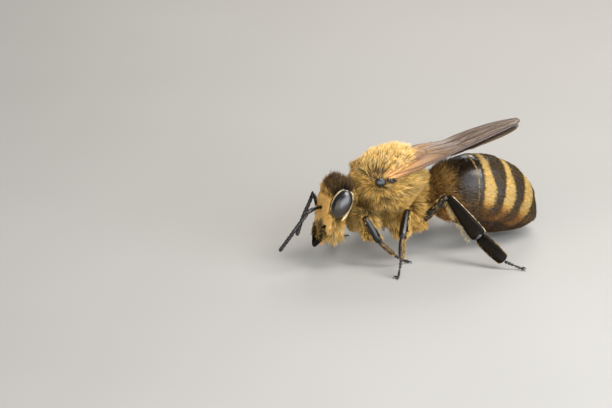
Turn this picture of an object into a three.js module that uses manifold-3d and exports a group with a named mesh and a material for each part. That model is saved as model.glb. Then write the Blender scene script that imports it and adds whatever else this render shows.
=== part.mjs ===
// Worker honey bee, life size, standing on six feet with its wings folded.
// Millimetres. The bee faces -X, its left side is -Y, and the floor is z = 0.
// The solids reach to the tips of the fur; wings and feelers are thick sheets and rods.

import * as THREE from 'three';
import { mergeVertices } from 'three/addons/utils/BufferGeometryUtils.js';
import Module from 'manifold-3d';

const wasm = await Module();
wasm.setup();

// ---------------------------------------------------------------- driving dimensions

const BODY_MID_X = 6.1;        // distance from the face datum to the middle of the box
const SEAM = 0.03;             // gap between neighbouring pieces

const HEAD_PIVOT_X = 2.0;      // the head turns about the neck here
const HEAD_TURN = THREE.MathUtils.degToRad(-9);
const HEAD_ROLL = THREE.MathUtils.degToRad(-8);   // the right side of the face hangs lower
const HEAD_TOP = [2.16, 5.04];         // x, z of the top of the crown's hair
const HEAD_BOTTOM = [0.92, 1.82];      // x, z below the upper lip
const HEAD_HALF_WIDTH = 1.72;

const EYE_ASIDE = 1.4;
const EYE_HEIGHT = 3.83;
const EYE_LENGTH = 1.98;
const EYE_BREADTH = 1.06;
const EYE_BULGE = 0.46;
const EYE_LEAN = THREE.MathUtils.degToRad(25);

const FEELER_THICKNESS = 0.5;
const WING_THICKNESS = 0.5;
const FOREWING_LENGTH = 8.9;
const FOREWING_CHORD = 2.85;
const HINDWING_LENGTH = 6.0;
const HINDWING_CHORD = 1.55;

const THORAX_FRONT_X = 2.5;
const THORAX_REAR_X = 6.95;
const THORAX_HALF_WIDTH = 2.15;

const ABDOMEN_HALF_WIDTH = 2.2;
const ABDOMEN_CUTS = [0.14, 0.36, 0.52, 0.68, 0.84];   // shares of the abdomen's length

// Joints of each leg, from its root at the thorax to the tip of its claws.
const LEG_JOINTS = {
  fore_left: [[3.2, -0.5, 2.35], [3.42, -0.85, 1.45], [2.88, -1.5, 2.74], [3.55, -1.9, 1.37],
    [4.28, -2.2, 0.64], [4.98, -2.12, 0.16]],
  fore_right: [[3.2, 0.5, 2.35], [3.42, 0.85, 1.45], [2.72, 1.6, 2.7], [2.92, 2.35, 1.3],
    [3.22, 2.8, 0.5], [3.75, 3.1, 0.16]],
  mid_left: [[4.9, -0.6, 2.3], [5.3, -1.05, 1.42], [5.2, -2.0, 2.97], [4.2, -3.3, 1.97],
    [3.82, -3.95, 1.1], [3.68, -4.0, 0.08]],
  mid_right: [[4.9, 0.6, 2.3], [5.3, 1.05, 1.42], [5.5, 2.3, 3.0], [5.6, 3.7, 1.8],
    [5.8, 4.5, 0.85], [6.15, 4.95, 0.14]],
  hind_left: [[6.0, -0.5, 2.4], [6.3, -0.88, 1.62], [7.65, -1.95, 3.42], [8.62, -3.8, 1.55],
    [9.46, -5.15, 0.46], [10.15, -5.66, 0.16]],
  hind_right: [[6.0, 0.5, 2.4], [6.3, 0.88, 1.62], [7.9, 2.15, 3.5], [9.3, 3.75, 1.72],
    [10.3, 5.0, 0.5], [11.0, 5.5, 0.16]],
};

// Half breadth and half thickness of each length of a leg.
const LEG_GIRTHS = {
  fore: { coxa: [0.58, 0.52], femur: [0.3, 0.27], tibia: [0.3, 0.26], basitarsus: [0.26, 0.25] },
  mid: { coxa: [0.62, 0.56], femur: [0.33, 0.28], tibia: [0.34, 0.27], basitarsus: [0.29, 0.25] },
  hind: { coxa: [0.66, 0.58], femur: [0.38, 0.29], tibia: [0.52, 0.26], basitarsus: [0.5, 0.25] },
};
const FOOT_HALF_THICKNESS = 0.25;

const FINISH = {
  fur: { color: 0xb98a3c, roughness: 0.95, metalness: 0 },
  horn: { color: 0x1c1410, roughness: 0.3, metalness: 0 },
  eye: { color: 0x140f0c, roughness: 0.12, metalness: 0 },
  wing: { color: 0x8f7c5e, roughness: 0.3, metalness: 0 },
  band: { color: 0x6a4a22, roughness: 0.6, metalness: 0 },
  tongue: { color: 0x9a5a24, roughness: 0.5, metalness: 0 },
};

// ---------------------------------------------------------------- shape helpers

const v3 = (point) => new THREE.Vector3(...point);
const curveThrough = (points) => new THREE.CatmullRomCurve3(points.map(v3));
const inPlane = (points) => curveThrough(points.map(([x, z]) => [x, 0, z]));
const Y_AXIS = new THREE.Vector3(0, 1, 0);

/** A smooth function of t through [t, value] stations. */
function through(stations) {
  const last = stations.length - 1;
  const slope = (i) => {
    const a = stations[Math.max(i - 1, 0)];
    const b = stations[Math.min(i + 1, last)];
    return (b[1] - a[1]) / (b[0] - a[0]);
  };
  return (t) => {
    let i = 0;
    while (i < last - 1 && t > stations[i + 1][0]) i += 1;
    const [t0, v0] = stations[i];
    const [t1, v1] = stations[i + 1];
    const span = t1 - t0;
    const s = THREE.MathUtils.clamp((t - t0) / span, 0, 1);
    const h = s * s * (3 - 2 * s);
    const lift = s * (1 - s) * ((1 - s) * slope(i) - s * slope(i + 1)) * span;
    return v0 + (v1 - v0) * h + lift;
  };
}

const asFunction = (value) => (typeof value === 'function' ? value : () => value);

/**
 * A closed round form along a path: half width along `side`, and half depths over and under.
 * `blunt` squares off its ends, and `grow` makes it larger all round.
 */
function spindle({ path, wide, over, under = over, side = Y_AXIS, blunt = 2, sides = 12, rows = 8 },
  grow = 0) {
  const [halfWide, halfOver, halfUnder] = [wide, over, under].map(asFunction);
  const ball = new THREE.SphereGeometry(1, sides, rows);
  ball.deleteAttribute('normal');
  ball.deleteAttribute('uv');
  const geometry = mergeVertices(ball, 1e-5);
  const at = geometry.getAttribute('position');
  for (let i = 0; i < at.count; i += 1) {
    const along = -at.getY(i);
    const t = THREE.MathUtils.clamp((1 + along) / 2, 0, 1);
    const ring = Math.hypot(at.getX(i), at.getZ(i));
    const pole = ring < 1e-4;
    const tangent = path.getTangent(t);
    const across = side.clone().addScaledVector(tangent, -side.dot(tangent)).normalize();
    const up = tangent.clone().cross(across);
    const full = pole ? 0 : Math.sqrt(Math.max(1 - Math.abs(along) ** blunt, 0));
    const c = pole ? 0 : at.getX(i) / ring;
    const s = pole ? 0 : at.getZ(i) / ring;
    const depth = s > 0 ? halfOver(t) : halfUnder(t);
    const point = path.getPoint(t)
      .addScaledVector(across, c * (halfWide(t) * full + grow))
      .addScaledVector(up, s * (depth * full + grow))
      .addScaledVector(tangent, pole ? Math.sign(along) * grow : 0);
    at.setXYZ(i, point.x, point.y, point.z);
  }
  return geometry;
}

function toSolid(geometry) {
  const mesh = geometry.clone();
  mesh.deleteAttribute('normal');
  mesh.deleteAttribute('uv');
  const merged = mergeVertices(mesh, 1e-5);
  return new wasm.Manifold(new wasm.Mesh({
    numProp: 3,
    vertProperties: new Float32Array(merged.getAttribute('position').array),
    triVerts: new Uint32Array(merged.getIndex().array),
  }));
}

function toGeometry(solid) {
  const { vertProperties, triVerts } = solid.getMesh();
  const geometry = new THREE.BufferGeometry();
  geometry.setAttribute('position', new THREE.BufferAttribute(vertProperties, 3));
  geometry.setIndex(new THREE.BufferAttribute(triVerts, 1));
  geometry.computeVertexNormals();
  return geometry;
}

const largest = (solid) => solid.decompose().sort((a, b) => b.volume() - a.volume())[0];

// ---------------------------------------------------------------- head

const about = (x, y, z, rotation) => new THREE.Matrix4()
  .makeTranslation(x, y, z)
  .multiply(rotation)
  .multiply(new THREE.Matrix4().makeTranslation(-x, -y, -z));
const turnMatrix = about(HEAD_PIVOT_X, 0, 0, new THREE.Matrix4().makeRotationZ(HEAD_TURN));
const headMatrix = turnMatrix.clone()
  .multiply(about(0, -EYE_ASIDE, EYE_HEIGHT, new THREE.Matrix4().makeRotationX(HEAD_ROLL)));
const onHead = (make) => (grow) => make(grow).applyMatrix4(headMatrix);
const turned = (make) => (grow) => make(grow).applyMatrix4(turnMatrix);

const headForm = onHead((grow) => spindle({
  path: inPlane([HEAD_TOP, [1.76, 4.2], [1.5, 3.3], [1.22, 2.5], HEAD_BOTTOM]),
  wide: through([[0, 0.75], [0.12, 1.4], [0.35, HEAD_HALF_WIDTH], [0.6, 1.5], [0.8, 1.12], [1, 0.85]]),
  over: through([[0, 0.8], [0.3, 0.8], [0.6, 0.85], [0.8, 1.15], [1, 1.15]]),
  under: through([[0, 0.85], [0.3, 0.8], [0.55, 0.7], [0.8, 0.86], [1, 0.8]]),
  blunt: 3.2,
  sides: 20,
  rows: 12,
}, grow));

const eyeForm = (mirror) => onHead((grow) => {
  const half = EYE_LENGTH / 2;
  const lean = [half * Math.sin(EYE_LEAN), half * Math.cos(EYE_LEAN)];
  const [x, y, z] = [1.6, mirror * EYE_ASIDE, EYE_HEIGHT];
  const path = new THREE.LineCurve3(v3([x + lean[0], y * 0.9, z + lean[1]]),
    v3([x - lean[0], y * 0.98, z - lean[1]]));
  return spindle({ path, wide: EYE_BULGE, over: EYE_BREADTH / 2, sides: 14, rows: 10 }, grow);
});

const scapeForm = (mirror) => turned((grow) => spindle({
  path: curveThrough(mirror < 0
    ? [[1.0, -0.34, 3.1], [0.35, -0.72, 3.26], [-0.13, -1.05, 3.19]]
    : [[1.0, 0.3, 3.0], [0.84, 0.86, 3.34], [0.96, 1.35, 3.47]]),
  side: new THREE.Vector3(0, 0, 1),
  wide: FEELER_THICKNESS / 2,
  over: FEELER_THICKNESS / 2,
  blunt: 8,
  sides: 8,
  rows: 6,
}, grow));

const flagellumForm = (mirror) => turned((grow) => spindle({
  path: curveThrough(mirror < 0
    ? [[-0.13, -1.05, 3.19], [-0.65, -1.2, 2.65], [-1.25, -1.24, 1.88], [-1.72, -1.2, 1.26]]
    : [[0.96, 1.35, 3.47], [0.5, 1.18, 2.75], [0.06, 0.88, 1.98], [-0.2, 0.62, 1.38]]),
  side: Y_AXIS,
  wide: FEELER_THICKNESS / 2,
  over: FEELER_THICKNESS / 2,
  blunt: 8,
  sides: 8,
  rows: 8,
}, grow));

const mandibleForm = (mirror) => onHead((grow) => spindle({
  path: curveThrough([[0.9, mirror * 0.64, 2.3], [0.62, mirror * 0.5, 1.72], [0.42, mirror * 0.24, 1.1]]),
  side: new THREE.Vector3(1, 0, 0),
  wide: through([[0, 0.34], [0.5, 0.27], [1, 0.27]]),
  over: 0.25,
  blunt: 5,
  sides: 8,
  rows: 6,
}, grow));

const proboscisForm = onHead((grow) => spindle({
  path: inPlane([[1.4, 2.1], [1.1, 1.62], [0.8, 1.16]]),
  wide: through([[0, 0.45], [0.6, 0.38], [1, 0.26]]),
  over: through([[0, 0.34], [1, 0.24]]),
  blunt: 4,
  sides: 8,
  rows: 5,
}, grow));

// ---------------------------------------------------------------- thorax and abdomen

const thoraxForm = (grow) => spindle({
  path: inPlane([[THORAX_FRONT_X, 3.85], [3.7, 4.0], [4.9, 4.1], [6.0, 3.85], [THORAX_REAR_X, 3.3]]),
  wide: through([[0, 1.3], [0.25, 1.95], [0.5, THORAX_HALF_WIDTH], [0.78, 1.75], [1, 0.8]]),
  over: through([[0, 1.55], [0.25, 1.9], [0.6, 2.15], [0.82, 1.95], [1, 0.7]]),
  under: through([[0, 1.3], [0.25, 2.0], [0.5, 2.35], [0.8, 2.2], [1, 0.9]]),
  blunt: 2.6,
  sides: 20,
  rows: 14,
}, grow);

const neckForm = (grow) => spindle({
  path: inPlane([[1.7, 3.5], [3.2, 3.8]]),
  wide: 0.62,
  over: 0.62,
  blunt: 8,
  sides: 8,
  rows: 3,
}, grow);

const waistForm = (grow) => spindle({
  path: inPlane([[6.3, 3.4], [7.7, 3.05]]),
  wide: 0.6,
  over: 0.55,
  blunt: 8,
  sides: 8,
  rows: 3,
}, grow);

const abdomenPath = inPlane([[7.1, 3.0], [8.3, 2.95], [9.6, 2.85], [10.9, 2.5], [12.1, 2.0],
  [13.15, 1.3], [14.15, 0.72]]);

const abdomenForm = (grow) => spindle({
  path: abdomenPath,
  wide: through([[0, 1.1], [0.2, 1.98], [0.45, ABDOMEN_HALF_WIDTH], [0.65, 2.1], [0.85, 1.55], [1, 0.95]]),
  over: through([[0, 1.0], [0.2, 1.98], [0.4, 2.32], [0.6, 2.2], [0.8, 1.68], [1, 0.95]]),
  under: through([[0, 1.0], [0.2, 1.8], [0.45, 2.2], [0.65, 2.14], [0.85, 1.6], [1, 1.15]]),
  blunt: 3.6,
  sides: 20,
  rows: 20,
}, grow);

/** The abdomen between two shares of its length, parted by cuts square to its axis. */
function abdomenRing(index) {
  const keep = (solid, t, facing) => {
    const ahead = abdomenPath.getTangent(t).multiplyScalar(facing);
    return solid.trimByPlane(ahead.toArray(), ahead.dot(abdomenPath.getPoint(t)) + SEAM / 2);
  };
  let ring = toSolid(abdomenForm(0));
  if (index > 0) ring = keep(ring, ABDOMEN_CUTS[index - 1], 1);
  if (index < ABDOMEN_CUTS.length) ring = keep(ring, ABDOMEN_CUTS[index], -1);
  return ring;
}

const tegulaForm = (mirror) => (grow) => spindle({
  path: mirror < 0
    ? new THREE.LineCurve3(v3([3.36, -1.76, 4.76]), v3([4.14, -1.84, 4.84]))
    : new THREE.LineCurve3(v3([3.42, 1.72, 4.44]), v3([4.16, 1.8, 4.54])),
  wide: 0.32,
  over: 0.34,
  blunt: 2.4,
  sides: 8,
  rows: 6,
}, grow);

// ---------------------------------------------------------------- wings

/** Wing outline: the leading edge runs along +x from the hinge, and the wing lies towards +y. */
function wingOutline(length, chord) {
  const outline = new THREE.Shape();
  outline.moveTo(0, 0);
  outline.quadraticCurveTo(length * 0.5, -chord * 0.07, length * 0.9, 0.04 * chord);
  outline.quadraticCurveTo(length * 1.0, chord * 0.1, length, chord * 0.3);
  outline.bezierCurveTo(length * 0.99, chord * 0.62, length * 0.84, chord * 0.95, length * 0.66, chord);
  outline.bezierCurveTo(length * 0.45, chord * 1.02, length * 0.2, chord * 0.55, 0, chord * 0.22);
  return outline;
}

/** Leans a wing near its root, so that its inner edge stands higher there. */
function leanRoot(plate, lean) {
  const { clamp, smoothstep } = THREE.MathUtils;
  const at = plate.getAttribute('position');
  for (let i = 0; i < at.count; i += 1) {
    const share = clamp(at.getX(i) / FOREWING_LENGTH, 0, 1);
    const angle = lean * (1 - smoothstep(share, 0.1, 0.6));
    const [y, z] = [at.getY(i), at.getZ(i)];
    at.setY(i, y * Math.cos(angle) - z * Math.sin(angle));
    at.setZ(i, y * Math.sin(angle) + z * Math.cos(angle));
  }
}

/** A plate in the wing's plane, from its hinge towards its tip, sunk by `drop`. */
function wingPlate({ hinge, tip, inward, droop, lean, length, chord, setback, inset, drop },
  grow = 0) {
  const along = v3(tip).sub(v3(hinge)).normalize();
  const level = new THREE.Vector3(0, inward, 0).addScaledVector(along, -inward * along.y).normalize();
  const over = along.clone().cross(level).multiplyScalar(inward);
  const across = level.clone().multiplyScalar(Math.cos(droop)).addScaledVector(over, -Math.sin(droop));
  const normal = along.clone().cross(across).multiplyScalar(inward);
  const plate = new THREE.ExtrudeGeometry(wingOutline(length, chord),
    { depth: WING_THICKNESS + 2 * grow, bevelEnabled: false, curveSegments: 5 });
  plate.translate(setback, inset, -WING_THICKNESS / 2 - grow - drop);
  leanRoot(plate, lean);
  const place = new THREE.Matrix4().makeBasis(along, across, normal).setPosition(...hinge);
  plate.applyMatrix4(place);
  if (inward < 0) flipFaces(plate);
  return plate;
}

/** Turns the faces of an unindexed geometry round, by swapping two corners of each. */
function flipFaces(geometry) {
  const at = geometry.getAttribute('position');
  const [second, third] = [new THREE.Vector3(), new THREE.Vector3()];
  for (let i = 0; i < at.count; i += 3) {
    second.fromBufferAttribute(at, i + 1);
    third.fromBufferAttribute(at, i + 2);
    at.setXYZ(i + 1, third.x, third.y, third.z);
    at.setXYZ(i + 2, second.x, second.y, second.z);
  }
}

// The left wings lie over the right ones: they sit a little higher, and their roots lean inwards.
const { degToRad } = THREE.MathUtils;
const WING_PLACES = {
  left: { hinge: [4.15, -1.95, 4.6], tip: [12.35, -1.1, 6.45], inward: 1, droop: 0, lean: degToRad(22) },
  right: { hinge: [4.15, 1.95, 4.4], tip: [12.6, 0.9, 5.95], inward: -1, droop: degToRad(-7), lean: 0 },
};

const forewingForm = (hand) => (grow) => wingPlate({
  ...WING_PLACES[hand], length: FOREWING_LENGTH, chord: FOREWING_CHORD, setback: 0, inset: 0, drop: 0,
}, grow);

const hindwingForm = (hand) => (grow) => wingPlate({
  ...WING_PLACES[hand], length: HINDWING_LENGTH, chord: HINDWING_CHORD, setback: 0.9, inset: 0.85,
  drop: WING_THICKNESS + SEAM,
}, grow);

/** Keeps a wing on its own side of the bee, where the folded wings meet. */
function ownSide(solid, hand) {
  const normal = hand === 'left' ? [0, -1, 0] : [0, 1, 0];
  return solid.trimByPlane(normal, SEAM / 2);
}

// ---------------------------------------------------------------- legs

const LENGTHS = ['coxa', 'femur', 'tibia', 'basitarsus', 'foot'];

/** One length of a leg, from a joint to the next, broad along the leg's own plane. */
function legForm(pair, joints, name) {
  const index = LENGTHS.indexOf(name);
  const [from, to] = [v3(joints[index]), v3(joints[index + 1])];
  if (name === 'foot') return footForm(from, to);
  const [breadth, thickness] = LEG_GIRTHS[pair][name];
  const profiles = {
    coxa: through([[0, 1], [0.5, 1.05], [1, 0.86]]),
    femur: through([[0, 0.75], [0.3, 1], [0.8, 0.9], [1, 0.85]]),
    tibia: through([[0, 0.62], [0.35, 0.85], [0.8, 1], [1, 0.95]]),
    basitarsus: through([[0, 0.95], [0.4, 1], [1, 0.88]]),
  };
  const outward = new THREE.Vector3(1, 0, 0);
  return (grow) => spindle({
    path: new THREE.LineCurve3(from, to),
    side: outward,
    wide: (t) => breadth * profiles[name](t),
    over: (t) => thickness * Math.max(profiles[name](t), 0.92),
    blunt: name === 'coxa' ? 4 : 7,
    sides: 8,
    rows: 5,
  }, grow);
}

/** The small foot joints, the pad under the last one, flat on the floor, and the pair of claws. */
function footForm(from, to) {
  const toes = to.clone().sub(from).setZ(0).normalize();
  const spread = new THREE.Vector3(-toes.y, toes.x, 0);
  const lobe = (ahead, aside, z, girth, grow) => {
    const root = to.clone().addScaledVector(toes, -0.16).addScaledVector(spread, aside * 0.4).setZ(z + 0.03);
    const tip = to.clone().addScaledVector(toes, ahead).addScaledVector(spread, aside).setZ(z);
    const path = new THREE.LineCurve3(root, tip);
    return toSolid(spindle({ path, side: spread, ...girth, blunt: 5, sides: 6, rows: 3 }, grow));
  };
  return (grow) => {
    const shank = spindle({
      path: new THREE.LineCurve3(from, to),
      side: spread,
      wide: FOOT_HALF_THICKNESS,
      over: FOOT_HALF_THICKNESS,
      blunt: 7,
      sides: 8,
      rows: 3,
    }, grow);
    const pad = lobe(0.24, 0, 0.12, { wide: 0.25, over: 0.24 }, grow);
    const claws = [-1, 1].map((hand) => lobe(0.3, hand * 0.27, 0.1, { wide: 0.14, over: 0.14 }, grow));
    const foot = [pad, ...claws].reduce((sum, piece) => sum.add(piece), toSolid(shank));
    return toGeometry(foot.trimByPlane([0, 0, 1], 0));
  };
}

// ---------------------------------------------------------------- assembly

const bee = new THREE.Group();
bee.position.set(-BODY_MID_X, 0, 0);
const placed = [];

/** Adds a node, cut back from every earlier one so that only a thin seam is left between them. */
function add(name, finish, form, shape = (grow) => toSolid(form(grow))) {
  let solid = shape(0);
  for (const earlier of placed) {
    if (boxesMeet(solid.boundingBox(), earlier.box)) solid = solid.subtract(earlier.grown);
  }
  solid = largest(solid);
  const grown = shape(SEAM);
  placed.push({ grown, box: grown.boundingBox() });
  const material = new THREE.MeshStandardMaterial(FINISH[finish]);
  const mesh = new THREE.Mesh(toGeometry(solid), material);
  mesh.name = name;
  bee.add(mesh);
}

function boxesMeet(a, b) {
  return [0, 1, 2].every((i) => a.min[i] < b.max[i] && b.min[i] < a.max[i]);
}

const HANDS = { left: -1, right: 1 };

for (const [hand, mirror] of Object.entries(HANDS)) add(`eye_${hand}`, 'eye', eyeForm(mirror));
add('head', 'fur', headForm);
add('thorax', 'fur', thoraxForm);
for (let i = 0; i <= ABDOMEN_CUTS.length; i += 1) addAbdomenRing(i);
add('neck', 'fur', neckForm);
add('waist', 'horn', waistForm);
add('proboscis', 'tongue', proboscisForm);
for (const [hand, mirror] of Object.entries(HANDS)) {
  add(`mandible_${hand}`, 'horn', mandibleForm(mirror));
  add(`antenna_${hand}_scape`, 'horn', scapeForm(mirror));
  add(`antenna_${hand}_flagellum`, 'horn', flagellumForm(mirror));
  add(`tegula_${hand}`, 'horn', tegulaForm(mirror));
  const forewing = forewingForm(hand);
  const hindwing = hindwingForm(hand);
  add(`forewing_${hand}`, 'wing', forewing, (grow) => ownSide(toSolid(forewing(grow)), hand));
  add(`hindwing_${hand}`, 'wing', hindwing, (grow) => ownSide(toSolid(hindwing(grow)), hand));
}
for (const [leg, joints] of Object.entries(LEG_JOINTS)) {
  const [pair, hand] = leg.split('_');
  for (const name of LENGTHS) {
    const finish = name === 'coxa' ? 'fur' : 'horn';
    add(`leg_${hand}_${pair}_${name}`, finish, legForm(pair, joints, name));
  }
}

/** Abdomen rings meet each other at plane cuts, so they are cut back only from the thorax. */
function addAbdomenRing(index) {
  const thorax = placed.at(-1 - index).grown;
  const solid = largest(abdomenRing(index).subtract(thorax));
  placed.push({ grown: toSolid(abdomenForm(SEAM)), box: solid.boundingBox() });
  const mesh = new THREE.Mesh(toGeometry(solid), new THREE.MeshStandardMaterial(FINISH.band));
  mesh.name = `abdomen_${index + 1}`;
  bee.add(mesh);
}

export default bee;
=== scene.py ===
# %% [markdown]
# # A worker honey bee, life size
#
# The bee stands on six feet with its wings folded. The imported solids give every
# part its place and size. This file dresses them: smooth horn, thin wings and a
# coat of real hairs. All of it is modelled on a bench in millimetres, because the
# whole bee is only 16 mm long, and each finished piece is shrunk to metres.

# %% The frame
import math

import bpy
import numpy as np
from mathutils import Matrix, Vector, kdtree


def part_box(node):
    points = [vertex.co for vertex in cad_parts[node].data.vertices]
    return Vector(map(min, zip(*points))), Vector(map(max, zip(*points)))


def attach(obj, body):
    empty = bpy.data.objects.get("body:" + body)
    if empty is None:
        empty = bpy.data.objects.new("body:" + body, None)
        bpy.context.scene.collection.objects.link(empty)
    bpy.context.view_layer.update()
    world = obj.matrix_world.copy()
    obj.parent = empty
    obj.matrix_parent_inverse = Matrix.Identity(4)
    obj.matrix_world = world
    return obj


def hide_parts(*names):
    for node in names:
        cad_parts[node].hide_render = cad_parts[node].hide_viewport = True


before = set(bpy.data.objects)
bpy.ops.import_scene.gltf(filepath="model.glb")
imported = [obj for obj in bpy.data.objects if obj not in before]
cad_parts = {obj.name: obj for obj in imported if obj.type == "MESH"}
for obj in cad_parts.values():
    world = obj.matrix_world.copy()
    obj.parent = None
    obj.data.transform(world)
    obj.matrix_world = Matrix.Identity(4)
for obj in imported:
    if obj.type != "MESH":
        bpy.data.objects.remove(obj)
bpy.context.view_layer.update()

MM = 0.001

# %% [markdown]
# ## The camera
#
# A long lens, set well back, keeps the bee's proportions true. The camera looks down
# a little at the face from the bee's left front, and aims just ahead of its forehead.

# %% Camera
CAMERA_AIM = Vector((-6.1, 0, 3.5)) * MM
CAMERA_DISTANCE = 183.8 * MM
CAMERA_TURN = math.radians(25)
CAMERA_RISE = math.radians(19)

back = Vector((-math.sin(CAMERA_TURN) * math.cos(CAMERA_RISE),
               -math.cos(CAMERA_TURN) * math.cos(CAMERA_RISE),
               math.sin(CAMERA_RISE)))
bpy.ops.object.camera_add(location=CAMERA_AIM + back * CAMERA_DISTANCE)
camera = bpy.context.object
camera.rotation_euler = back.to_track_quat("Z", "Y").to_euler()
camera.data.lens = 200
camera.data.sensor_width = 36
camera.data.clip_start = 0.02
camera.data.clip_end = 20
bpy.context.scene.camera = camera
print("camera", round(CAMERA_DISTANCE / MM), "mm from the bee")

# %% [markdown]
# ## Reading the solids
#
# The solids say where each part runs. A plane is laid across a node and the points
# where it meets the faces give the middle and the girth there. A short part is
# read by its three main directions instead, which also works for a tilted one.


# %% Reading the solids
def corners_of(node):
    """The triangles of a node as an array of corner points, in millimetres."""
    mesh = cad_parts[node].data
    mesh.calc_loop_triangles()
    points = np.array([v.co for v in mesh.vertices], float) / MM
    return points[np.array([t.vertices for t in mesh.loop_triangles])]


def section(triangles, point, ahead):
    """Where a plane meets the edges of the triangles."""
    after = np.roll(triangles, -1, axis=1)
    near, far = (triangles - point) @ ahead, (after - point) @ ahead
    crosses = near * far < 0
    share = near[crosses] / (near[crosses] - far[crosses])
    return triangles[crosses] + (after - triangles)[crosses] * share[:, None]


def main_axes(node):
    """A node's middle, its three main directions, longest first, and its half size along each."""
    triangles = corners_of(node)
    sides = np.cross(triangles[:, 1] - triangles[:, 0], triangles[:, 2] - triangles[:, 0])
    area = np.linalg.norm(sides, axis=1)
    middles = triangles.mean(axis=1)
    centre = (middles * area[:, None]).sum(axis=0) / area.sum()
    spread = (middles - centre) * np.sqrt(area)[:, None]
    axes = np.linalg.svd(spread, full_matrices=False)[2]
    reach = (triangles.reshape(-1, 3) - centre) @ axes.T
    low, high = reach.min(axis=0), reach.max(axis=0)
    return Vector(centre + (low + high) / 2 @ axes), [Vector(a) for a in axes], (high - low) / 2


def ends_of(node, start):
    """The two ends of a long node, the one nearer to `start` first."""
    middle, axes, half = main_axes(node)
    ends = [middle - axes[0] * half[0], middle + axes[0] * half[0]]
    return sorted(ends, key=lambda end: (end - start).length)


print("hind shin runs", [[round(c, 1) for c in e] for e in ends_of("leg_left_hind_tibia", Vector())])

# %% [markdown]
# ## Drawing out a body form
#
# A head, a thorax or a leg is a tube whose girth changes. It could be a squashed
# sphere, but that gives one curve only. Here a filled circle is drawn out ring by
# ring, and each ring is moved, sized and leaned, as one pulls a form by hand.


# %% Drawing out a form ring by ring
def pick(*pieces):
    """Selects these pieces and nothing else, and makes the first one active."""
    bpy.ops.object.select_all(action="DESELECT")
    for piece in pieces:
        piece.select_set(True)
    if pieces:
        bpy.context.view_layer.objects.active = pieces[0]


def loft(name, rings, sides=24):
    """A closed form along x. A ring is its x, its z, its half width, its half depth and its lean."""
    pick()
    x, z, wide, deep, lean = rings[0]
    centre = Vector((x, 0, z))
    bpy.ops.mesh.primitive_circle_add(vertices=sides, radius=1, fill_type="NGON",
                                      location=centre, rotation=(0, math.pi / 2, 0))
    piece = bpy.context.object
    piece.name = name
    bpy.ops.object.transform_apply()
    bpy.ops.object.mode_set(mode="EDIT")
    bpy.ops.mesh.select_all(action="SELECT")
    old_wide, old_deep, old_lean, old_centre = 1, 1, 0, centre
    for x, z, wide, deep, lean in rings:
        centre = Vector((x, 0, z))
        if centre != old_centre:
            bpy.ops.mesh.extrude_region_move(TRANSFORM_OT_translate={"value": centre - old_centre})
        bpy.ops.transform.rotate(value=-old_lean, orient_axis="Y", center_override=centre)
        bpy.ops.transform.resize(value=(1, wide / old_wide, deep / old_deep), center_override=centre)
        bpy.ops.transform.rotate(value=lean, orient_axis="Y", center_override=centre)
        old_wide, old_deep, old_lean, old_centre = wide, deep, lean, centre
    bpy.ops.mesh.select_all(action="SELECT")
    bpy.ops.mesh.normals_make_consistent(inside=False)
    bpy.ops.object.mode_set(mode="OBJECT")
    return piece


def apply_modifier(piece, kind, **settings):
    """Adds one modifier, sets it and applies it."""
    pick(piece)
    modifier = piece.modifiers.new(kind.title(), kind)
    for key, value in settings.items():
        setattr(modifier, key, value)
    bpy.ops.object.modifier_apply(modifier=modifier.name)
    return piece


def soften(piece, levels=2):
    """Rounds a form with subdivision and shades it smooth."""
    apply_modifier(piece, "SUBSURF", levels=levels, render_levels=levels)
    piece.data.shade_smooth()
    return piece


def place(piece, matrix):
    """Moves a piece by a matrix and leaves its object at the origin."""
    piece.matrix_world = matrix @ piece.matrix_world
    pick(piece)
    bpy.ops.object.transform_apply()
    return piece


def join(name, pieces):
    """Joins pieces into one and names it."""
    pick(*pieces)
    bpy.ops.object.join()
    pieces[0].name = name
    pieces[0].data.name = name
    return pieces[0]

# %% [markdown]
# ## Materials: one recipe for horn
#
# A bee has no bones, so nearly everything is horn: a hard shell, black or brown,
# with a fine grain. The recipe gives a base colour that wanders a little, a low
# roughness that wanders too, and two bumps, one for dents and one for grain. Noise
# on object coordinates needs no unwrap, and scales are in grains for each metre.


# %% Small helpers for shader nodes
def new_material(name):
    """A material with an empty principled shader, and its node tree."""
    material = bpy.data.materials.new(name)
    material.use_nodes = True
    return material, material.node_tree, material.node_tree.nodes["Principled BSDF"]


def link(tree, output, socket):
    tree.links.new(output, socket)


def object_place(tree):
    return tree.nodes.new("ShaderNodeTexCoord").outputs["Object"]


def noise(tree, per_metre, detail=3.0, vector=None):
    """A noise pattern on object coordinates, or on a vector that is given."""
    node = tree.nodes.new("ShaderNodeTexNoise")
    node.inputs["Scale"].default_value = per_metre
    node.inputs["Detail"].default_value = detail
    link(tree, vector or object_place(tree), node.inputs["Vector"])
    return node.outputs["Fac"]


def ramp(tree, value, *stops):
    """Turns a value into a colour or a grey, by stops of place and colour."""
    node = tree.nodes.new("ShaderNodeValToRGB")
    elements = node.color_ramp.elements
    while len(elements) < len(stops):
        elements.new(0.5)
    for element, (position, colour) in zip(elements, stops):
        element.position = position
        grey = isinstance(colour, (int, float))
        element.color = (colour, colour, colour, 1) if grey else (*colour, 1)
    link(tree, value, node.inputs["Fac"])
    return node.outputs["Color"]


def mix(tree, share, first, second, blend="MIX"):
    """Mixes two colours. Each is a socket or a plain colour, and so is the share."""
    node = tree.nodes.new("ShaderNodeMix")
    node.data_type = "RGBA"
    node.blend_type = blend
    for socket, value in ((node.inputs[0], share), (node.inputs[6], first), (node.inputs[7], second)):
        if isinstance(value, bpy.types.NodeSocket):
            link(tree, value, socket)
        else:
            socket.default_value = value if isinstance(value, float) else (*value, 1)
    return node.outputs[2]


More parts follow.
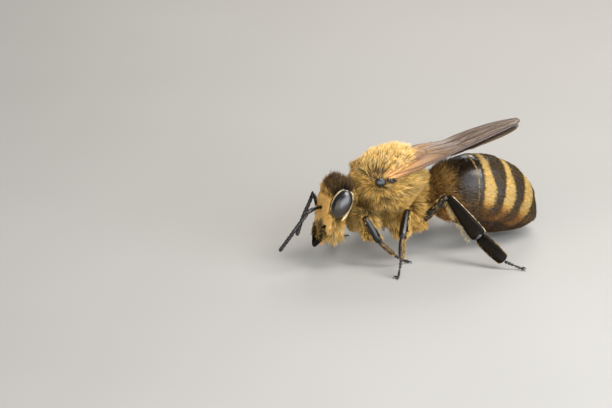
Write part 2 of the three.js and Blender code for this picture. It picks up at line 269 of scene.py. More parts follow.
def bump(tree, shader, *layers):
    """Stacks bumps on a shader. A layer is a height socket and a distance in metres."""
    normal = None
    for height, distance in layers:
        node = tree.nodes.new("ShaderNodeBump")
        node.inputs["Distance"].default_value = distance
        link(tree, height, node.inputs["Height"])
        if normal is not None:
            link(tree, normal, node.inputs["Normal"])
        normal = node.outputs["Normal"]
    link(tree, normal, shader.inputs["Normal"])


def attribute(tree, name):
    node = tree.nodes.new("ShaderNodeAttribute")
    node.attribute_name = name
    return node.outputs["Fac"]


def wandering(tree, per_metre, low, high):
    """A number that wanders between two values."""
    return ramp(tree, noise(tree, per_metre), (0.3, low), (0.7, high))


def between(tree, axis, low, high):
    """0 to 1 between two places along an axis of the bee, in millimetres."""
    split = tree.nodes.new("ShaderNodeSeparateXYZ")
    link(tree, object_place(tree), split.inputs["Vector"])
    share = tree.nodes.new("ShaderNodeMapRange")
    share.inputs["From Min"].default_value = low * MM
    share.inputs["From Max"].default_value = high * MM
    link(tree, split.outputs[axis], share.inputs["Value"])
    return share.outputs["Result"]


# %% Horn
def horn(name, deep, light, rough):
    """Shell in two near colours. `rough` is its least and its greatest roughness."""
    material, tree, shader = new_material(name)
    cloud = noise(tree, 1800)
    link(tree, ramp(tree, cloud, (0.35, deep), (0.7, light)), shader.inputs["Base Color"])
    link(tree, wandering(tree, 5000, *rough), shader.inputs["Roughness"])
    bump(tree, shader, (cloud, 0.006 * MM), (noise(tree, 60000, 2.0), 0.0025 * MM))
    return material


BLACK_HORN = horn("black_horn", (0.003, 0.002, 0.0012), (0.008, 0.0045, 0.002), (0.17, 0.30))
BROWN_HORN = horn("brown_horn", (0.006, 0.003, 0.0015), (0.022, 0.009, 0.003), (0.26, 0.42))
BASKET_HORN = horn("basket_horn", (0.0025, 0.0018, 0.001), (0.009, 0.005, 0.002), (0.3, 0.42))
BASKET_HORN.node_tree.nodes["Principled BSDF"].inputs["Specular IOR Level"].default_value = 0.07
AMBER_HORN = horn("amber_horn", (0.42, 0.2, 0.05), (0.72, 0.45, 0.16), (0.35, 0.5))
RUST_HORN = horn("rust_horn", (0.16, 0.045, 0.014), (0.34, 0.11, 0.03), (0.3, 0.45))
print("made", len(bpy.data.materials), "materials so far")


# %% Putting a finished piece on the frame
def shelve(piece, slot, *materials, replaces=()):
    """Shrinks a finished piece to metres, gives it its finish and sets it on the frame."""
    place(piece, Matrix.Scale(MM, 4))
    if materials:
        piece.data.materials.clear()
        for material in materials:
            piece.data.materials.append(material)
    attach(piece, "root")
    if replaces:
        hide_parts(*replaces)
    print(f"{piece.name}: {len(piece.data.polygons)} faces")


# %% [markdown]
# ## The skin
#
# Head, neck, thorax, waist and the thick roots of the legs are one skin. Each form
# is drawn out inside its solid, deeper by the length of the coat there. The forms
# are joined and remeshed into one surface, so no seam shows between them. A
# boolean union would leave sharp creases, and those read as glued parts.

# %% Rings inside the solids
SIDES = {"left": -1, "right": 1}
PAIRS = ("fore", "mid", "hind")
X_AXIS, Z_AXIS = Vector((1, 0, 0)), Vector((0, 0, 1))
THORAX_COAT = 0.46


def turn_about(point, degrees, axis):
    """A turn about an axis through a point."""
    turn = Matrix.Rotation(math.radians(degrees), 4, axis)
    return Matrix.Translation(point) @ turn @ Matrix.Translation(-point)


HEAD_TURN = (turn_about(Vector((-4.1, 0, 0)), -9, "Z")
             @ turn_about(Vector((0, -1.4, 3.83)), -8, "X"))


def upright_rings(triangles, first, last, shares, coat):
    """Rings square to x between two places along x, read from the solids, deeper by the coat."""
    rings = []
    for share in shares:
        x = first + (last - first) * share
        cut = section(triangles, np.array([x, 0, 0]), np.array([1, 0, 0]))
        low, high = cut[:, 2].min(), cut[:, 2].max()
        wide = np.abs(cut[:, 1]).max() - coat
        rings.append((x, (low + high) / 2, max(wide, 0.1), max((high - low) / 2 - coat, 0.1), 0))
    return rings


thorax_rings = upright_rings(corners_of("thorax"), -3.2, 0.62,
                             (0.0, 0.07, 0.18, 0.34, 0.5, 0.66, 0.82, 0.93, 1.0), THORAX_COAT)
print("thorax rings", [[round(float(value), 2) for value in ring] for ring in thorax_rings])

# %% Forms of the skin
def leaned(stations):
    """Adds to each (x, z, half width, half depth) the lean that follows the line of the middles."""
    rings = []
    for i, (x, z, wide, deep) in enumerate(stations):
        before, after = stations[max(i - 1, 0)], stations[min(i + 1, len(stations) - 1)]
        rings.append((x, z, wide, deep, math.atan2(after[1] - before[1], after[0] - before[0])))
    return rings


HEAD_STATIONS = ((-4.02, 4.62, 0.32, 0.18), (-4.07, 4.52, 0.78, 0.38), (-4.18, 4.30, 1.12, 0.52),
                 (-4.32, 4.00, 1.36, 0.60), (-4.46, 3.65, 1.46, 0.62), (-4.58, 3.25, 1.42, 0.60),
                 (-4.72, 2.85, 1.20, 0.56), (-4.86, 2.45, 0.90, 0.50), (-5.00, 2.10, 0.66, 0.42),
                 (-5.10, 1.86, 0.48, 0.32), (-5.14, 1.74, 0.28, 0.18))
NECK_STATIONS = ((-4.2, 3.6, 0.5, 0.5), (-3.6, 3.72, 0.46, 0.5), (-3.0, 3.85, 0.6, 0.6))
WAIST_STATIONS = ((0.3, 3.7, 0.5, 0.6), (0.75, 3.4, 0.34, 0.34), (1.1, 3.2, 0.34, 0.34),
                  (1.5, 3.1, 0.6, 0.6))


def bead(name, middle, half, turn=(0, 0, 0), levels=2):
    """A small rounded form: a cube with its corners cut and smoothed, sized and turned."""
    pick()
    bpy.ops.mesh.primitive_cube_add(size=2, location=middle, rotation=turn, scale=half)
    piece = bpy.context.object
    piece.name = name
    bpy.ops.object.transform_apply()
    return soften(piece, levels)


head_forms = [
    soften(loft("head_form", leaned(HEAD_STATIONS), 28)),
    bead("clypeus", (-5.17, 0, 2.62), (0.26, 0.62, 0.64), (0, math.radians(14), 0)),
    bead("upper_lip", (-5.28, 0, 2.08), (0.16, 0.44, 0.24), (0, math.radians(14), 0)),
    bead("brow", (-4.86, 0, 3.75), (0.3, 0.75, 0.6), (0, math.radians(18), 0)),
]
for side in SIDES.values():
    head_forms.append(bead("socket_mound", (-5.06, side * 0.32, 3.1), (0.2, 0.24, 0.24)))
    head_forms.append(bead("cheek", (-4.78, side * 0.72, 2.45), (0.36, 0.4, 0.55)))
head_forms = [place(form, HEAD_TURN) for form in head_forms]

body_forms = [
    soften(loft("thorax_form", thorax_rings, 28)),
    soften(loft("neck_form", leaned(NECK_STATIONS), 20)),
    soften(loft("waist_form", leaned(WAIST_STATIONS), 20)),
    bead("scutellum", (-0.55, 0, 5.28), (0.62, 1.25, 0.48), (0, math.radians(12), 0)),
    *[bead("wing_mound", (-2.1, side * 1.48, 4.62), (0.62, 0.3, 0.32)) for side in SIDES.values()],
]
print(len(head_forms) + len(body_forms), "forms for the skin")


# %% Hips
def along_axes(first, last, across_hint):
    """The frame of a long part: its local x runs from first to last, its y is broad."""
    ahead = (last - first).normalized()
    across = (across_hint - ahead * ahead.dot(across_hint)).normalized()
    up = ahead.cross(across)
    rotation = Matrix((ahead, across, up)).transposed().to_4x4()
    return Matrix.Translation(first) @ rotation


def limb(name, first, last, breadth, thickness, profile, sides=12, hint=X_AXIS, bow=0.0):
    """A length of leg or feeler. The profile gives the girth at shares of the length.

    `bow` lifts its middle off the straight line."""
    length = (last - first).length
    rings = [(share * length, 4 * bow * share * (1 - share), breadth * girth, thickness * girth,
              math.atan2(4 * bow * (1 - 2 * share), length)) for share, girth in profile]
    return place(soften(loft(name, rings, sides)), along_axes(first, last, hint))


HIP_PROFILE = ((0, 0.5), (0.08, 0.8), (0.35, 1.0), (0.75, 0.9), (0.95, 0.6), (1, 0.35))
hips = {}
for hand in SIDES:
    for pair in PAIRS:
        low, high = (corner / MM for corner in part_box(f"leg_{hand}_{pair}_coxa"))
        middle = (low + high) / 2
        root = Vector((middle.x - 0.1, middle.y * 0.75, high.z + 0.3))
        knee = ends_of(f"leg_{hand}_{pair}_femur", middle)[0]
        hips[hand, pair] = knee
        body_forms.append(limb("hip", root, knee, 0.46, 0.42, HIP_PROFILE))
print("hips end at", {key: [round(c, 1) for c in end] for key, end in hips.items()})

# %% [markdown]
# ## The abdomen's line
#
# The abdomen bends down towards its tip. Its plates are rings square to that bent
# line. The line's points are named here, the girth is read from the solids, and a
# share from 0 to 1 then finds any place along the abdomen, for plates, hairs and
# colours alike.

# %% The abdomen's line
ABDOMEN_LINE = np.array([(1.0, 3.0), (2.2, 2.95), (3.5, 2.85), (4.8, 2.5), (6.0, 2.0), (7.05, 1.3),
                         (8.05, 0.72)])
PLATE_EDGES = (0.04, 0.13, 0.355, 0.505, 0.66, 0.81, 0.997)
abdomen_triangles = np.concatenate([corners_of(f"abdomen_{i}") for i in range(1, 7)])


def on_line(share):
    """The middle of the abdomen at a share of its length, and the lean of the line there."""
    steps = np.linspace(0, 1, len(ABDOMEN_LINE))
    x, z = (np.interp(share, steps, ABDOMEN_LINE[:, i]) for i in (0, 1))
    ahead = [np.interp(share + 0.06, steps, ABDOMEN_LINE[:, i])
             - np.interp(share - 0.06, steps, ABDOMEN_LINE[:, i]) for i in (0, 1)]
    return x, z, math.atan2(ahead[1], ahead[0])


def abdomen_ring(share, coat):
    """A ring square to the abdomen's line, read from the solids, deeper by the coat."""
    x, z, lean = on_line(share)
    up = np.array([-math.sin(lean), 0, math.cos(lean)])
    point = np.array([x, 0, z])
    cut = section(abdomen_triangles, point, np.array([math.cos(lean), 0, math.sin(lean)])) - point
    if len(cut) == 0:
        return x, z, 0.08, 0.08, lean
    height = cut @ up
    middle = point + up * (height.max() + height.min()) / 2
    wide = max(np.abs(cut[:, 1]).max() - coat, 0.08)
    return middle[0], middle[2], wide, max((height.max() - height.min()) / 2 - coat, 0.08), lean


LINE_SHARES = np.linspace(0, 1, 301)
LINE_POINTS = np.array([on_line(share) for share in LINE_SHARES])


def share_of(points):
    """The share of the abdomen's length at which each point lies."""
    ahead = np.stack([np.cos(LINE_POINTS[:, 2]), np.sin(LINE_POINTS[:, 2])], axis=1)
    flat = points[:, [0, 2]]
    off = np.abs(((flat[:, None] - LINE_POINTS[None, :, :2]) * ahead[None]).sum(axis=2))
    return LINE_SHARES[off.argmin(axis=1)]


core_rings = [abdomen_ring(share, 0.4) for share in (0.05, 0.1, 0.25, 0.45, 0.65, 0.85, 0.96)]
body_forms.append(soften(loft("abdomen_core", core_rings, 24)))
print("abdomen girths", [round(ring[2], 2) for ring in core_rings])

# %% [markdown]
# ## One skin from all forms
#
# Voxel remeshing melts the overlapping forms into one closed surface with an even
# grid of small faces. A light smoothing takes the steps out of the joins.

# %% Skin
SKIN_VOXEL = 0.055

skin = join("skin", head_forms + body_forms)
apply_modifier(skin, "REMESH", mode="VOXEL", voxel_size=SKIN_VOXEL)
apply_modifier(skin, "SMOOTH", factor=0.6, iterations=5)
skin.data.shade_smooth()
print("skin has", len(skin.data.polygons), "faces")

# %% [markdown]
# ## Markings and painted shade
#
# Skin, plates and coat share one function for their markings and painted shade. It
# takes places and gives two numbers for each: how warm the hair is, from straw to
# orange-brown, and how dark it is. The darkness holds true markings and painted
# shade: under the abdomen, low on the front of the thorax's side and in the gaps
# of its coat. They are stored on the vertices, so a pattern can't slide.

# %% Markings and painted shade
FELT_BANDS = ((0.355, 0.435), (0.505, 0.59), (0.67, 0.77))


def step(value, low, high):
    """A smooth step from 0 to 1 between two values."""
    share = np.clip((value - low) / (high - low), 0, 1)
    return share * share * (3 - 2 * share)


def felt(share, above):
    """How much of the golden felt there is at a share of the abdomen, as crescents.

    `above` is the height over the abdomen's line, in millimetres. The bands narrow on the
    back and on the belly."""
    bands = []
    for low, high in FELT_BANDS:
        end = high - (high - low) * (0.06 + 0.52 * step(np.abs(above - 0.25), 0.35, 1.5))
        bands.append(step(share, low - 0.004, low + 0.008) * (1 - step(share, end - 0.012, end + 0.012)))
    return np.clip(sum(bands), 0, 1)


def mottle(points, size):
    """Soft blotches between 0 and 1, about as wide as `size`, in millimetres."""
    x, y, z = (points / size * 2.2).T
    waves = np.sin(x + 1.7 * np.sin(0.8 * z)) * np.sin(z + 1.3 * np.sin(1.1 * x + y))
    return step(waves + np.sin(y + x - z) * 0.5, -0.1, 1.0)


def seen_patch(points, centre, half):
    """1 inside a soft round patch, on both sides of the body, and 0 outside it."""
    mirrored = np.stack([points[:, 0], np.abs(points[:, 1]), points[:, 2]], axis=1)
    return 1 - step(np.linalg.norm((mirrored - centre) / half, axis=1), 0.6, 1.2)


BEHIND_WING = (np.array([-0.5, 1.3, 4.4]), np.array([1.1, 0.9, 0.55]))
# A painted shade: a dark patch low on the front of the thorax's side.
SHOULDER_SHADE = (np.array([-2.95, 1.3, 3.3]), np.array([0.5, 1.2, 0.75]))
HEAD_END, ABDOMEN_START = -3.55, 0.85


def markings_and_shade(points):
    """Warmth and darkness of hair and skin at each point, in millimetres. The darkness holds true markings
    and painted shade.
    """
    x, y, z = points.T
    in_head, in_abdomen = x < HEAD_END, x > ABDOMEN_START
    blotch = mottle(points, 0.8)
    warm = (0.19 + 0.1 * step(-z, -5.3, -4.6) - 0.03 * step(-z, -3.6, -2.9)
            + 0.1 * step(x, -0.8, 0.4) * step(-z, -5.0, -4.2))
    # Painted shade: fine dark mottling in the gaps between the tufts on the thorax's side.
    shade_gaps = mottle(points + 5.0, 0.42) * step(-z, -4.7, -4.3) * step(-x, 0.6, 1.2) * step(z, 2.6, 3.0)
    # Painted shade low on the front of the thorax's side; the sides below the back also get darker blotches.
    dark = np.maximum(0.8 * seen_patch(points, *SHOULDER_SHADE), 0.4 * blotch * step(-z, -4.9, -4.5))
    dark = np.maximum(dark, 0.62 * shade_gaps)
    warm = warm - 0.04 * seen_patch(points, *BEHIND_WING)
    crown = np.maximum(step(z, 3.85, 4.15) * step(x, -5.05, -4.8), step(x, -4.4, -4.15) * step(z, 3.0, 3.4))
    beside = np.abs(np.abs(y - 0.1) - 0.62)
    mask = step(-z, -3.0, -2.75) * step(-x, 4.7, 4.9) * (1 - step(beside, 0.1, 0.22))
    warm = np.where(in_head, 0.34 - 0.1 * step(-z, -3.2, -2.6), warm)
    dark = np.where(in_head, np.maximum(0.97 * crown, 0.85 * mask), dark)
    share = np.zeros(len(x))
    share[in_abdomen] = share_of(points[in_abdomen])
    below = np.interp(share, LINE_SHARES, LINE_POINTS[:, 1]) - z
    belly = step(below, -0.2, 0.5)
    # Painted shade: the lowest part of the abdomen, near the floor, is darkened.
    under = np.maximum(step(below, 0.8, 1.3), step(-z, -1.1, -0.6)) * step(share, 0.3, 0.45)
    bands = felt(share, -below) * (1 - 0.85 * belly)
    root = (1 - step(share, 0.13, 0.2)) * (0.6 + 0.4 * blotch)
    plate_dark = np.clip(1 - bands - 0.7 * root - 0.62 * belly * (0.3 + 0.7 * blotch) + under, 0, 1)
    warm = np.where(in_abdomen, 0.24 + 0.56 * np.maximum(root, belly), warm)
    dark = np.where(in_abdomen, plate_dark, dark)
    return warm, dark


def points_of(mesh):
    points = np.zeros(len(mesh.vertices) * 3, np.float32)
    mesh.vertices.foreach_get("co", points)
    return points.reshape(-1, 3).astype(float)


def store(mesh, **values):
    """Stores numbers on a mesh's vertices, for its material to read."""
    for name, numbers in values.items():
        layer = mesh.attributes.new(name, "FLOAT", "POINT")
        layer.data.foreach_set("value", np.asarray(numbers, np.float32))


def mark_and_shade(piece):
    warm, dark = markings_and_shade(points_of(piece.data))
    store(piece.data, warm=warm, dark=dark)


mark_and_shade(skin)
print("darkest skin", round(float(markings_and_shade(points_of(skin.data))[1].max()), 2))


# %% Skin finish
def skin_material():
    """Dark shell under the coat. It takes its markings and painted shade from the vertices."""
    material, tree, shader = new_material("skin_horn")
    cloud = noise(tree, 2500)
    shell = ramp(tree, cloud, (0.3, (0.010, 0.006, 0.004)), (0.75, (0.035, 0.018, 0.010)))
    amber = ramp(tree, cloud, (0.3, (0.10, 0.045, 0.014)), (0.75, (0.20, 0.10, 0.035)))
    lit = ramp(tree, attribute(tree, "dark"), (0.0, 0.34), (0.6, 0.0))
    link(tree, mix(tree, lit, shell, amber), shader.inputs["Base Color"])
    link(tree, wandering(tree, 6000, 0.34, 0.5), shader.inputs["Roughness"])
    bump(tree, shader, (cloud, 0.02 * MM), (noise(tree, 45000, 2.0), 0.008 * MM))
    return material


SKIN_HORN = skin_material()
hip_nodes = [f"leg_{hand}_{pair}_coxa" for hand in SIDES for pair in PAIRS]
shelve(skin, "fur", SKIN_HORN, replaces=["head", "neck", "thorax", "waist", *hip_nodes])

# %% [markdown]
# ## Abdomen plates
#
# The abdomen is six rings, each of an upper and a lower plate, and each ring slides
# into the one ahead of it like a telescope. Painted stripes on one smooth form
# would miss the little steps that catch the light, so every plate is its own thin
# shell: drawn out, cut open along its side, thickened inwards and rounded.


# %% Plates
def plate(name, first, last, is_upper):
    """One upper or lower plate between two shares of the abdomen's length."""
    tuck = 0.030 if first > 0.1 else 0.0
    deeper = 0.0 if is_upper else 0.05
    span = last - first
    rings = [abdomen_ring(first - tuck, 0.235 + deeper), abdomen_ring(first, 0.19 + deeper),
             abdomen_ring(first + 0.25 * span, 0.165 + deeper),
             abdomen_ring(first + 0.6 * span, 0.145 + deeper),
             abdomen_ring(first + 0.9 * span, 0.14 + deeper), abdomen_ring(last, 0.155 + deeper)]
    piece = loft(name, rings, 40)
    bpy.ops.object.mode_set(mode="EDIT")
    bpy.ops.mesh.select_all(action="DESELECT")
    bpy.ops.object.mode_set(mode="OBJECT")
    for face in piece.data.polygons:
        face.select = len(face.vertices) > 4 and (last < 0.9 or face.index == 0)
    bpy.ops.object.mode_set(mode="EDIT")
    bpy.ops.mesh.delete(type="FACE")
    x0, z0, _, deep0, _ = rings[0]
    x1, z1, _, deep1, _ = rings[-1]
    hang = 0.42 if is_upper else 0.30
    start = Vector((x0, 0, z0 - hang * deep0))
    end = Vector((x1, 0, z1 - hang * deep1))
    run = end - start
    bpy.ops.mesh.select_all(action="SELECT")
    bpy.ops.mesh.bisect(plane_co=start, plane_no=(-run.z, 0, run.x),
                        clear_inner=is_upper, clear_outer=not is_upper)
    bpy.ops.object.mode_set(mode="OBJECT")
    apply_modifier(piece, "SOLIDIFY", thickness=0.05, offset=-1)
    return soften(piece, 1)


GLOSSY_ABOVE = (3.95, 4.25)


def plate_material():
    """Dark plate with golden felt bands and painted shade low on the belly, glossy on its back and rough on
    its sides.
    """
    material, tree, shader = new_material("abdomen_plate")
    cloud = noise(tree, 2200)
    shell = ramp(tree, cloud, (0.3, (0.006, 0.004, 0.003)), (0.7, (0.018, 0.010, 0.005)))
    warm = ramp(tree, attribute(tree, "warm"), (0.2, (0.62, 0.33, 0.07)), (0.8, (0.24, 0.085, 0.012)))
    share = ramp(tree, attribute(tree, "dark"), (0.2, 1.0), (0.8, 0.0))
    link(tree, mix(tree, share, shell, warm), shader.inputs["Base Color"])
    grain = noise(tree, 7000)
    rough, smooth = ramp(tree, grain, (0.3, 0.55), (0.7, 0.7)), ramp(tree, grain, (0.3, 0.24), (0.7, 0.38))
    link(tree, mix(tree, between(tree, "Z", *GLOSSY_ABOVE), rough, smooth), shader.inputs["Roughness"])
    bump(tree, shader, (cloud, 0.015 * MM), (noise(tree, 38000, 2.0), 0.007 * MM))
    shader.inputs["Coat Weight"].default_value = 0.22
    shader.inputs["Coat Roughness"].default_value = 0.2
    return material


PLATE_HORN = plate_material()
plates = []
for i in range(6):
    first, last = PLATE_EDGES[i], PLATE_EDGES[i + 1]
    for is_upper in (True, False):
        word = "tergite" if is_upper else "sternite"
        piece = plate(f"{word}_{i + 1}", first, last, is_upper)
        mark_and_shade(piece)
        plates.append(piece)
        shelve(piece, "band", PLATE_HORN, replaces=[f"abdomen_{i + 1}"] if is_upper else ())

# %% [markdown]
# ## Eyes
#
# A compound eye is a long, low dome that fills the side of the head. It is black
# and looks smooth at this size, because its thousands of facets are 0.03 mm wide.
# A ball is squashed to the eye's three measures, and a cell pattern gives the
# facets as a bump, which a mesh of that fineness would only make heavy.


# %% Eyes
EYE_SHARE = (0.82, 1.0, 1.0)
EYE_SHIFT = Vector((0.15, 0, -0.15))
EYE_TURN = math.radians(8)


def eye_material():
    """Black-brown lens shell, browner towards its lower edge, with very fine facets."""
    material, tree, shader = new_material("eye_facets")
    colour = ramp(tree, between(tree, "Z", 2.9, 4.2), (0.0, (0.030, 0.013, 0.003)),
                  (0.4, (0.010, 0.006, 0.002)), (0.8, (0.004, 0.003, 0.003)))
    link(tree, colour, shader.inputs["Base Color"])
    facets = tree.nodes.new("ShaderNodeTexVoronoi")
    facets.inputs["Scale"].default_value = 33000
    facets.inputs["Randomness"].default_value = 0.25
    link(tree, object_place(tree), facets.inputs["Vector"])
    bump(tree, shader, (facets.outputs["Distance"], 0.0006 * MM))
    shader.inputs["Roughness"].default_value = 0.38
    shader.inputs["Specular IOR Level"].default_value = 0.05
    shader.inputs["Coat Weight"].default_value = 0.9
    shader.inputs["Coat Roughness"].default_value = 0.3
    shader.inputs["Coat IOR"].default_value = 1.8
    return material


EYE_FACETS = eye_material()
eye_places = {}
for hand in SIDES:
    middle, axes, half = main_axes(f"eye_{hand}")
    axes = [Matrix.Rotation(EYE_TURN, 3, "Y") @ Vector(axis) for axis in axes]
    middle, half = middle + EYE_SHIFT, half * np.array(EYE_SHARE)
    eye_places[hand] = middle, axes, half
    pick()
    bpy.ops.mesh.primitive_uv_sphere_add(segments=64, ring_count=40, radius=1)
    eye = bpy.context.object
    eye.name = f"compound_eye_{hand}"
    bpy.ops.object.mode_set(mode="EDIT")
    bpy.ops.mesh.select_all(action="SELECT")
    bpy.ops.transform.resize(value=tuple(half[::-1]))
    bpy.ops.object.mode_set(mode="OBJECT")
    rotation = Matrix((axes[2], axes[1], axes[0])).transposed()
    if rotation.determinant() < 0:
        rotation = Matrix((-axes[2], axes[1], axes[0])).transposed()
    place(eye, Matrix.Translation(middle) @ rotation.to_4x4())
    eye.data.shade_smooth()
    shelve(eye, "eye", EYE_FACETS, replaces=[f"eye_{hand}"])
print("eye half sizes", [round(float(value), 2) for value in half])

# %% [markdown]
# ## Legs
#
# The hips belong to the skin. From there every leg has a thigh, a shin, a long first
# foot length, four small foot beads and two claws. Hind shins and their first foot
# lengths are broad and flat, for carrying pollen. The joints are read from the
# solids, so legs follow any change there. A narrow brown cuff joins shin and foot.

# %% Leg girths and profiles
LEG_PARTS = ("femur", "tibia", "basitarsus")
GIRTHS = {
    "fore": {"femur": (0.24, 0.21), "tibia": (0.235, 0.21), "basitarsus": (0.16, 0.14)},
    "mid": {"femur": (0.26, 0.22), "tibia": (0.265, 0.22), "basitarsus": (0.21, 0.15)},
    "hind": {"femur": (0.30, 0.23), "tibia": (0.46, 0.19), "basitarsus": (0.43, 0.17)},
}
PROFILES = {
    "femur": ((0, 0.5), (0.06, 0.75), (0.3, 1.0), (0.7, 0.95), (0.93, 0.85), (1, 0.55)),
    "tibia": ((0, 0.45), (0.05, 0.66), (0.3, 0.84), (0.7, 1.0), (0.93, 0.97), (1, 0.62)),
    "basitarsus": ((0, 0.55), (0.07, 0.9), (0.5, 1.0), (0.9, 0.85), (1, 0.5)),
}
HIND_TIBIA = ((0, 0.34), (0.05, 0.44), (0.3, 0.66), (0.6, 0.88), (0.88, 1.03), (0.96, 0.98), (1, 0.7))
BEAD_PROFILE = ((0, 0.45), (0.12, 0.62), (0.6, 1.0), (0.85, 0.95), (1, 0.5))
CLAW_PROFILE = ((0, 1.0), (0.4, 0.75), (0.8, 0.4), (1, 0.1))
CUFF_PROFILE = ((0, 0.7), (0.3, 1.0), (0.7, 1.0), (1, 0.7))
FOOT_BEADS = ((0.0, 0.2, 0.115), (0.2, 0.38, 0.11), (0.38, 0.55, 0.10), (0.55, 1.0, 0.085))
TOE_HEIGHT = 0.13


def leg_joints(hand, pair):
    """Joints of a leg from hip to toe, each at the far end of a solid."""
    joints = [hips[hand, pair]]
    for part in LEG_PARTS:
        joints.append(ends_of(f"leg_{hand}_{pair}_{part}", joints[-1])[1])
    foot = corners_of(f"leg_{hand}_{pair}_foot").reshape(-1, 3)
    sole = foot[foot[:, 2] < 0.001].mean(axis=0)
    joints.append(Vector((sole[0], sole[1], TOE_HEIGHT)))
    return joints


def foot_pieces(ankle, toe):
    """Four beads, two hooked claws and the soft pad between them."""
    level = (toe - ankle).cross(Z_AXIS).normalized()
    ahead = Z_AXIS.cross(level).normalized()
    beads = []
    for start, end, girth in FOOT_BEADS:
        first, last = ankle.lerp(toe, start), ankle.lerp(toe, end)
        beads.append(limb("bead", first, last, girth, girth * 0.85, BEAD_PROFILE, 8))
    for side in (-1, 1):
        bend = toe + ahead * 0.16 + level * side * 0.15 + Z_AXIS * 0.02
        tip = bend + ahead * 0.12 + level * side * 0.02 - Z_AXIS * 0.13
        beads.append(limb("claw", toe + level * side * 0.04, bend, 0.05, 0.05, BEAD_PROFILE, 8))
        beads.append(limb("claw", bend - (tip - bend) * 0.1, tip, 0.04, 0.04, CLAW_PROFILE, 8))
    beads.append(bead("pad", toe + ahead * 0.12 - Z_AXIS * 0.04, (0.1, 0.09, 0.045)))
    return beads


lengths = {}
for hand, side in SIDES.items():
    for pair in PAIRS:
        joints = leg_joints(hand, pair)
        for i, part in enumerate(LEG_PARTS):
            broad, thick = GIRTHS[pair][part]
            profile = HIND_TIBIA if (pair, part) == ("hind", "tibia") else PROFILES[part]
            hint = Vector((0.82, 0.17 * side, 0.55)) if pair == "hind" else X_AXIS
            lengths[hand, pair, part] = joints[i], joints[i + 1], broad, thick, profile, hint
            piece = limb(f"{hand}_{pair}_{part}", joints[i], joints[i + 1], broad, thick, profile, 16,
                         hint=hint)
            is_basket = pair == "hind" and part != "femur"
            horn_here = BASKET_HORN if is_basket else {"basitarsus": BROWN_HORN}.get(part, BLACK_HORN)
            shelve(piece, "horn", horn_here, replaces=[f"leg_{hand}_{pair}_{part}"])
        foot = join(f"{hand}_{pair}_foot_beads", foot_pieces(joints[3], joints[4]))
        lowest = min(points_of(foot.data)[:, 2])
        place(foot, Matrix.Translation((0, 0, -lowest)))
        shelve(foot, "horn", BROWN_HORN, replaces=[f"leg_{hand}_{pair}_foot"])
        cuff = limb(f"{hand}_{pair}_cuff", joints[2].lerp(joints[1], 0.04), joints[2].lerp(joints[3], 0.06),
                    GIRTHS[pair]["basitarsus"][0] * 0.85, GIRTHS[pair]["basitarsus"][1],
                    CUFF_PROFILE, 12)
        shelve(cuff, "horn", BROWN_HORN)

# %% [markdown]
# ## Feelers
#
# A feeler is a long root length, a small hinge bead and a row of like lengths. They
# follow the solid's own bend, read from its middle line. Each is drawn out between
# two points of that line with the same girth and profile, so they stay alike.


# %% Feelers
def middle_line(node, start, count):
    """Points along the middle of a gently bent node, from its end near `start`."""
    near, far = ends_of(node, start)
    triangles, ahead = corners_of(node), np.array((far - near).normalized())
    points = [near]
    for share in np.linspace(0.04, 0.97, count):
        cut = section(triangles, np.array(near.lerp(far, share)), ahead)
        points.append(Vector((cut.max(axis=0) + cut.min(axis=0)) / 2))
    return points


FEELER_GIRTH = 0.118
ROOT_PROFILE = ((0, 0.6), (0.05, 1.15), (0.12, 0.75), (0.5, 0.95), (0.9, 1.05), (1, 0.6))
LINK_PROFILE = ((0, 0.82), (0.1, 0.97), (0.5, 1.0), (0.9, 1.0), (1, 0.84))
TIP_PROFILE = ((0, 0.9), (0.5, 0.9), (0.85, 0.6), (1, 0.25))

for hand in SIDES:
    head_middle = HEAD_TURN @ Vector((-4.6, 0, 3.4))
    root, elbow = ends_of(f"antenna_{hand}_scape", head_middle)
    root = root.lerp(head_middle, 0.12)
    scape = limb(f"feeler_root_{hand}", root, elbow, FEELER_GIRTH, FEELER_GIRTH, ROOT_PROFILE, 12,
                 hint=Z_AXIS.cross(elbow - root), bow=0.14)
    shelve(scape, "horn", BLACK_HORN, replaces=[f"antenna_{hand}_scape"])
    ball = bead(f"feeler_socket_{hand}", root, (0.13, 0.13, 0.13))
    shelve(ball, "tongue", RUST_HORN)
    line = [elbow, *middle_line(f"antenna_{hand}_flagellum", elbow, 11)]
    links = []
    for i, (first, last) in enumerate(zip(line, line[1:])):
        girth = FEELER_GIRTH * (0.8 if i == 0 else 0.97)
        links.append(limb("link", first, last, girth, girth, LINK_PROFILE, 10, hint=Z_AXIS))
    tip, girth = line[-1] + (line[-1] - line[-2]) * 0.35, FEELER_GIRTH * 0.93
    links.append(limb("link", line[-1], tip, girth, girth, TIP_PROFILE, 10, hint=Z_AXIS))
    shelve(join(f"feeler_{hand}", links), "horn", BLACK_HORN, replaces=[f"antenna_{hand}_flagellum"])

# %% [markdown]
# ## Jaws and tongue
#
# The jaws are two flat horn pieces, broad at the root and narrow at the tip, that
# meet under the lip like a beak. Behind them the folded tongue shows as an amber
# sheath. Both are drawn-out lengths, like those of the legs.

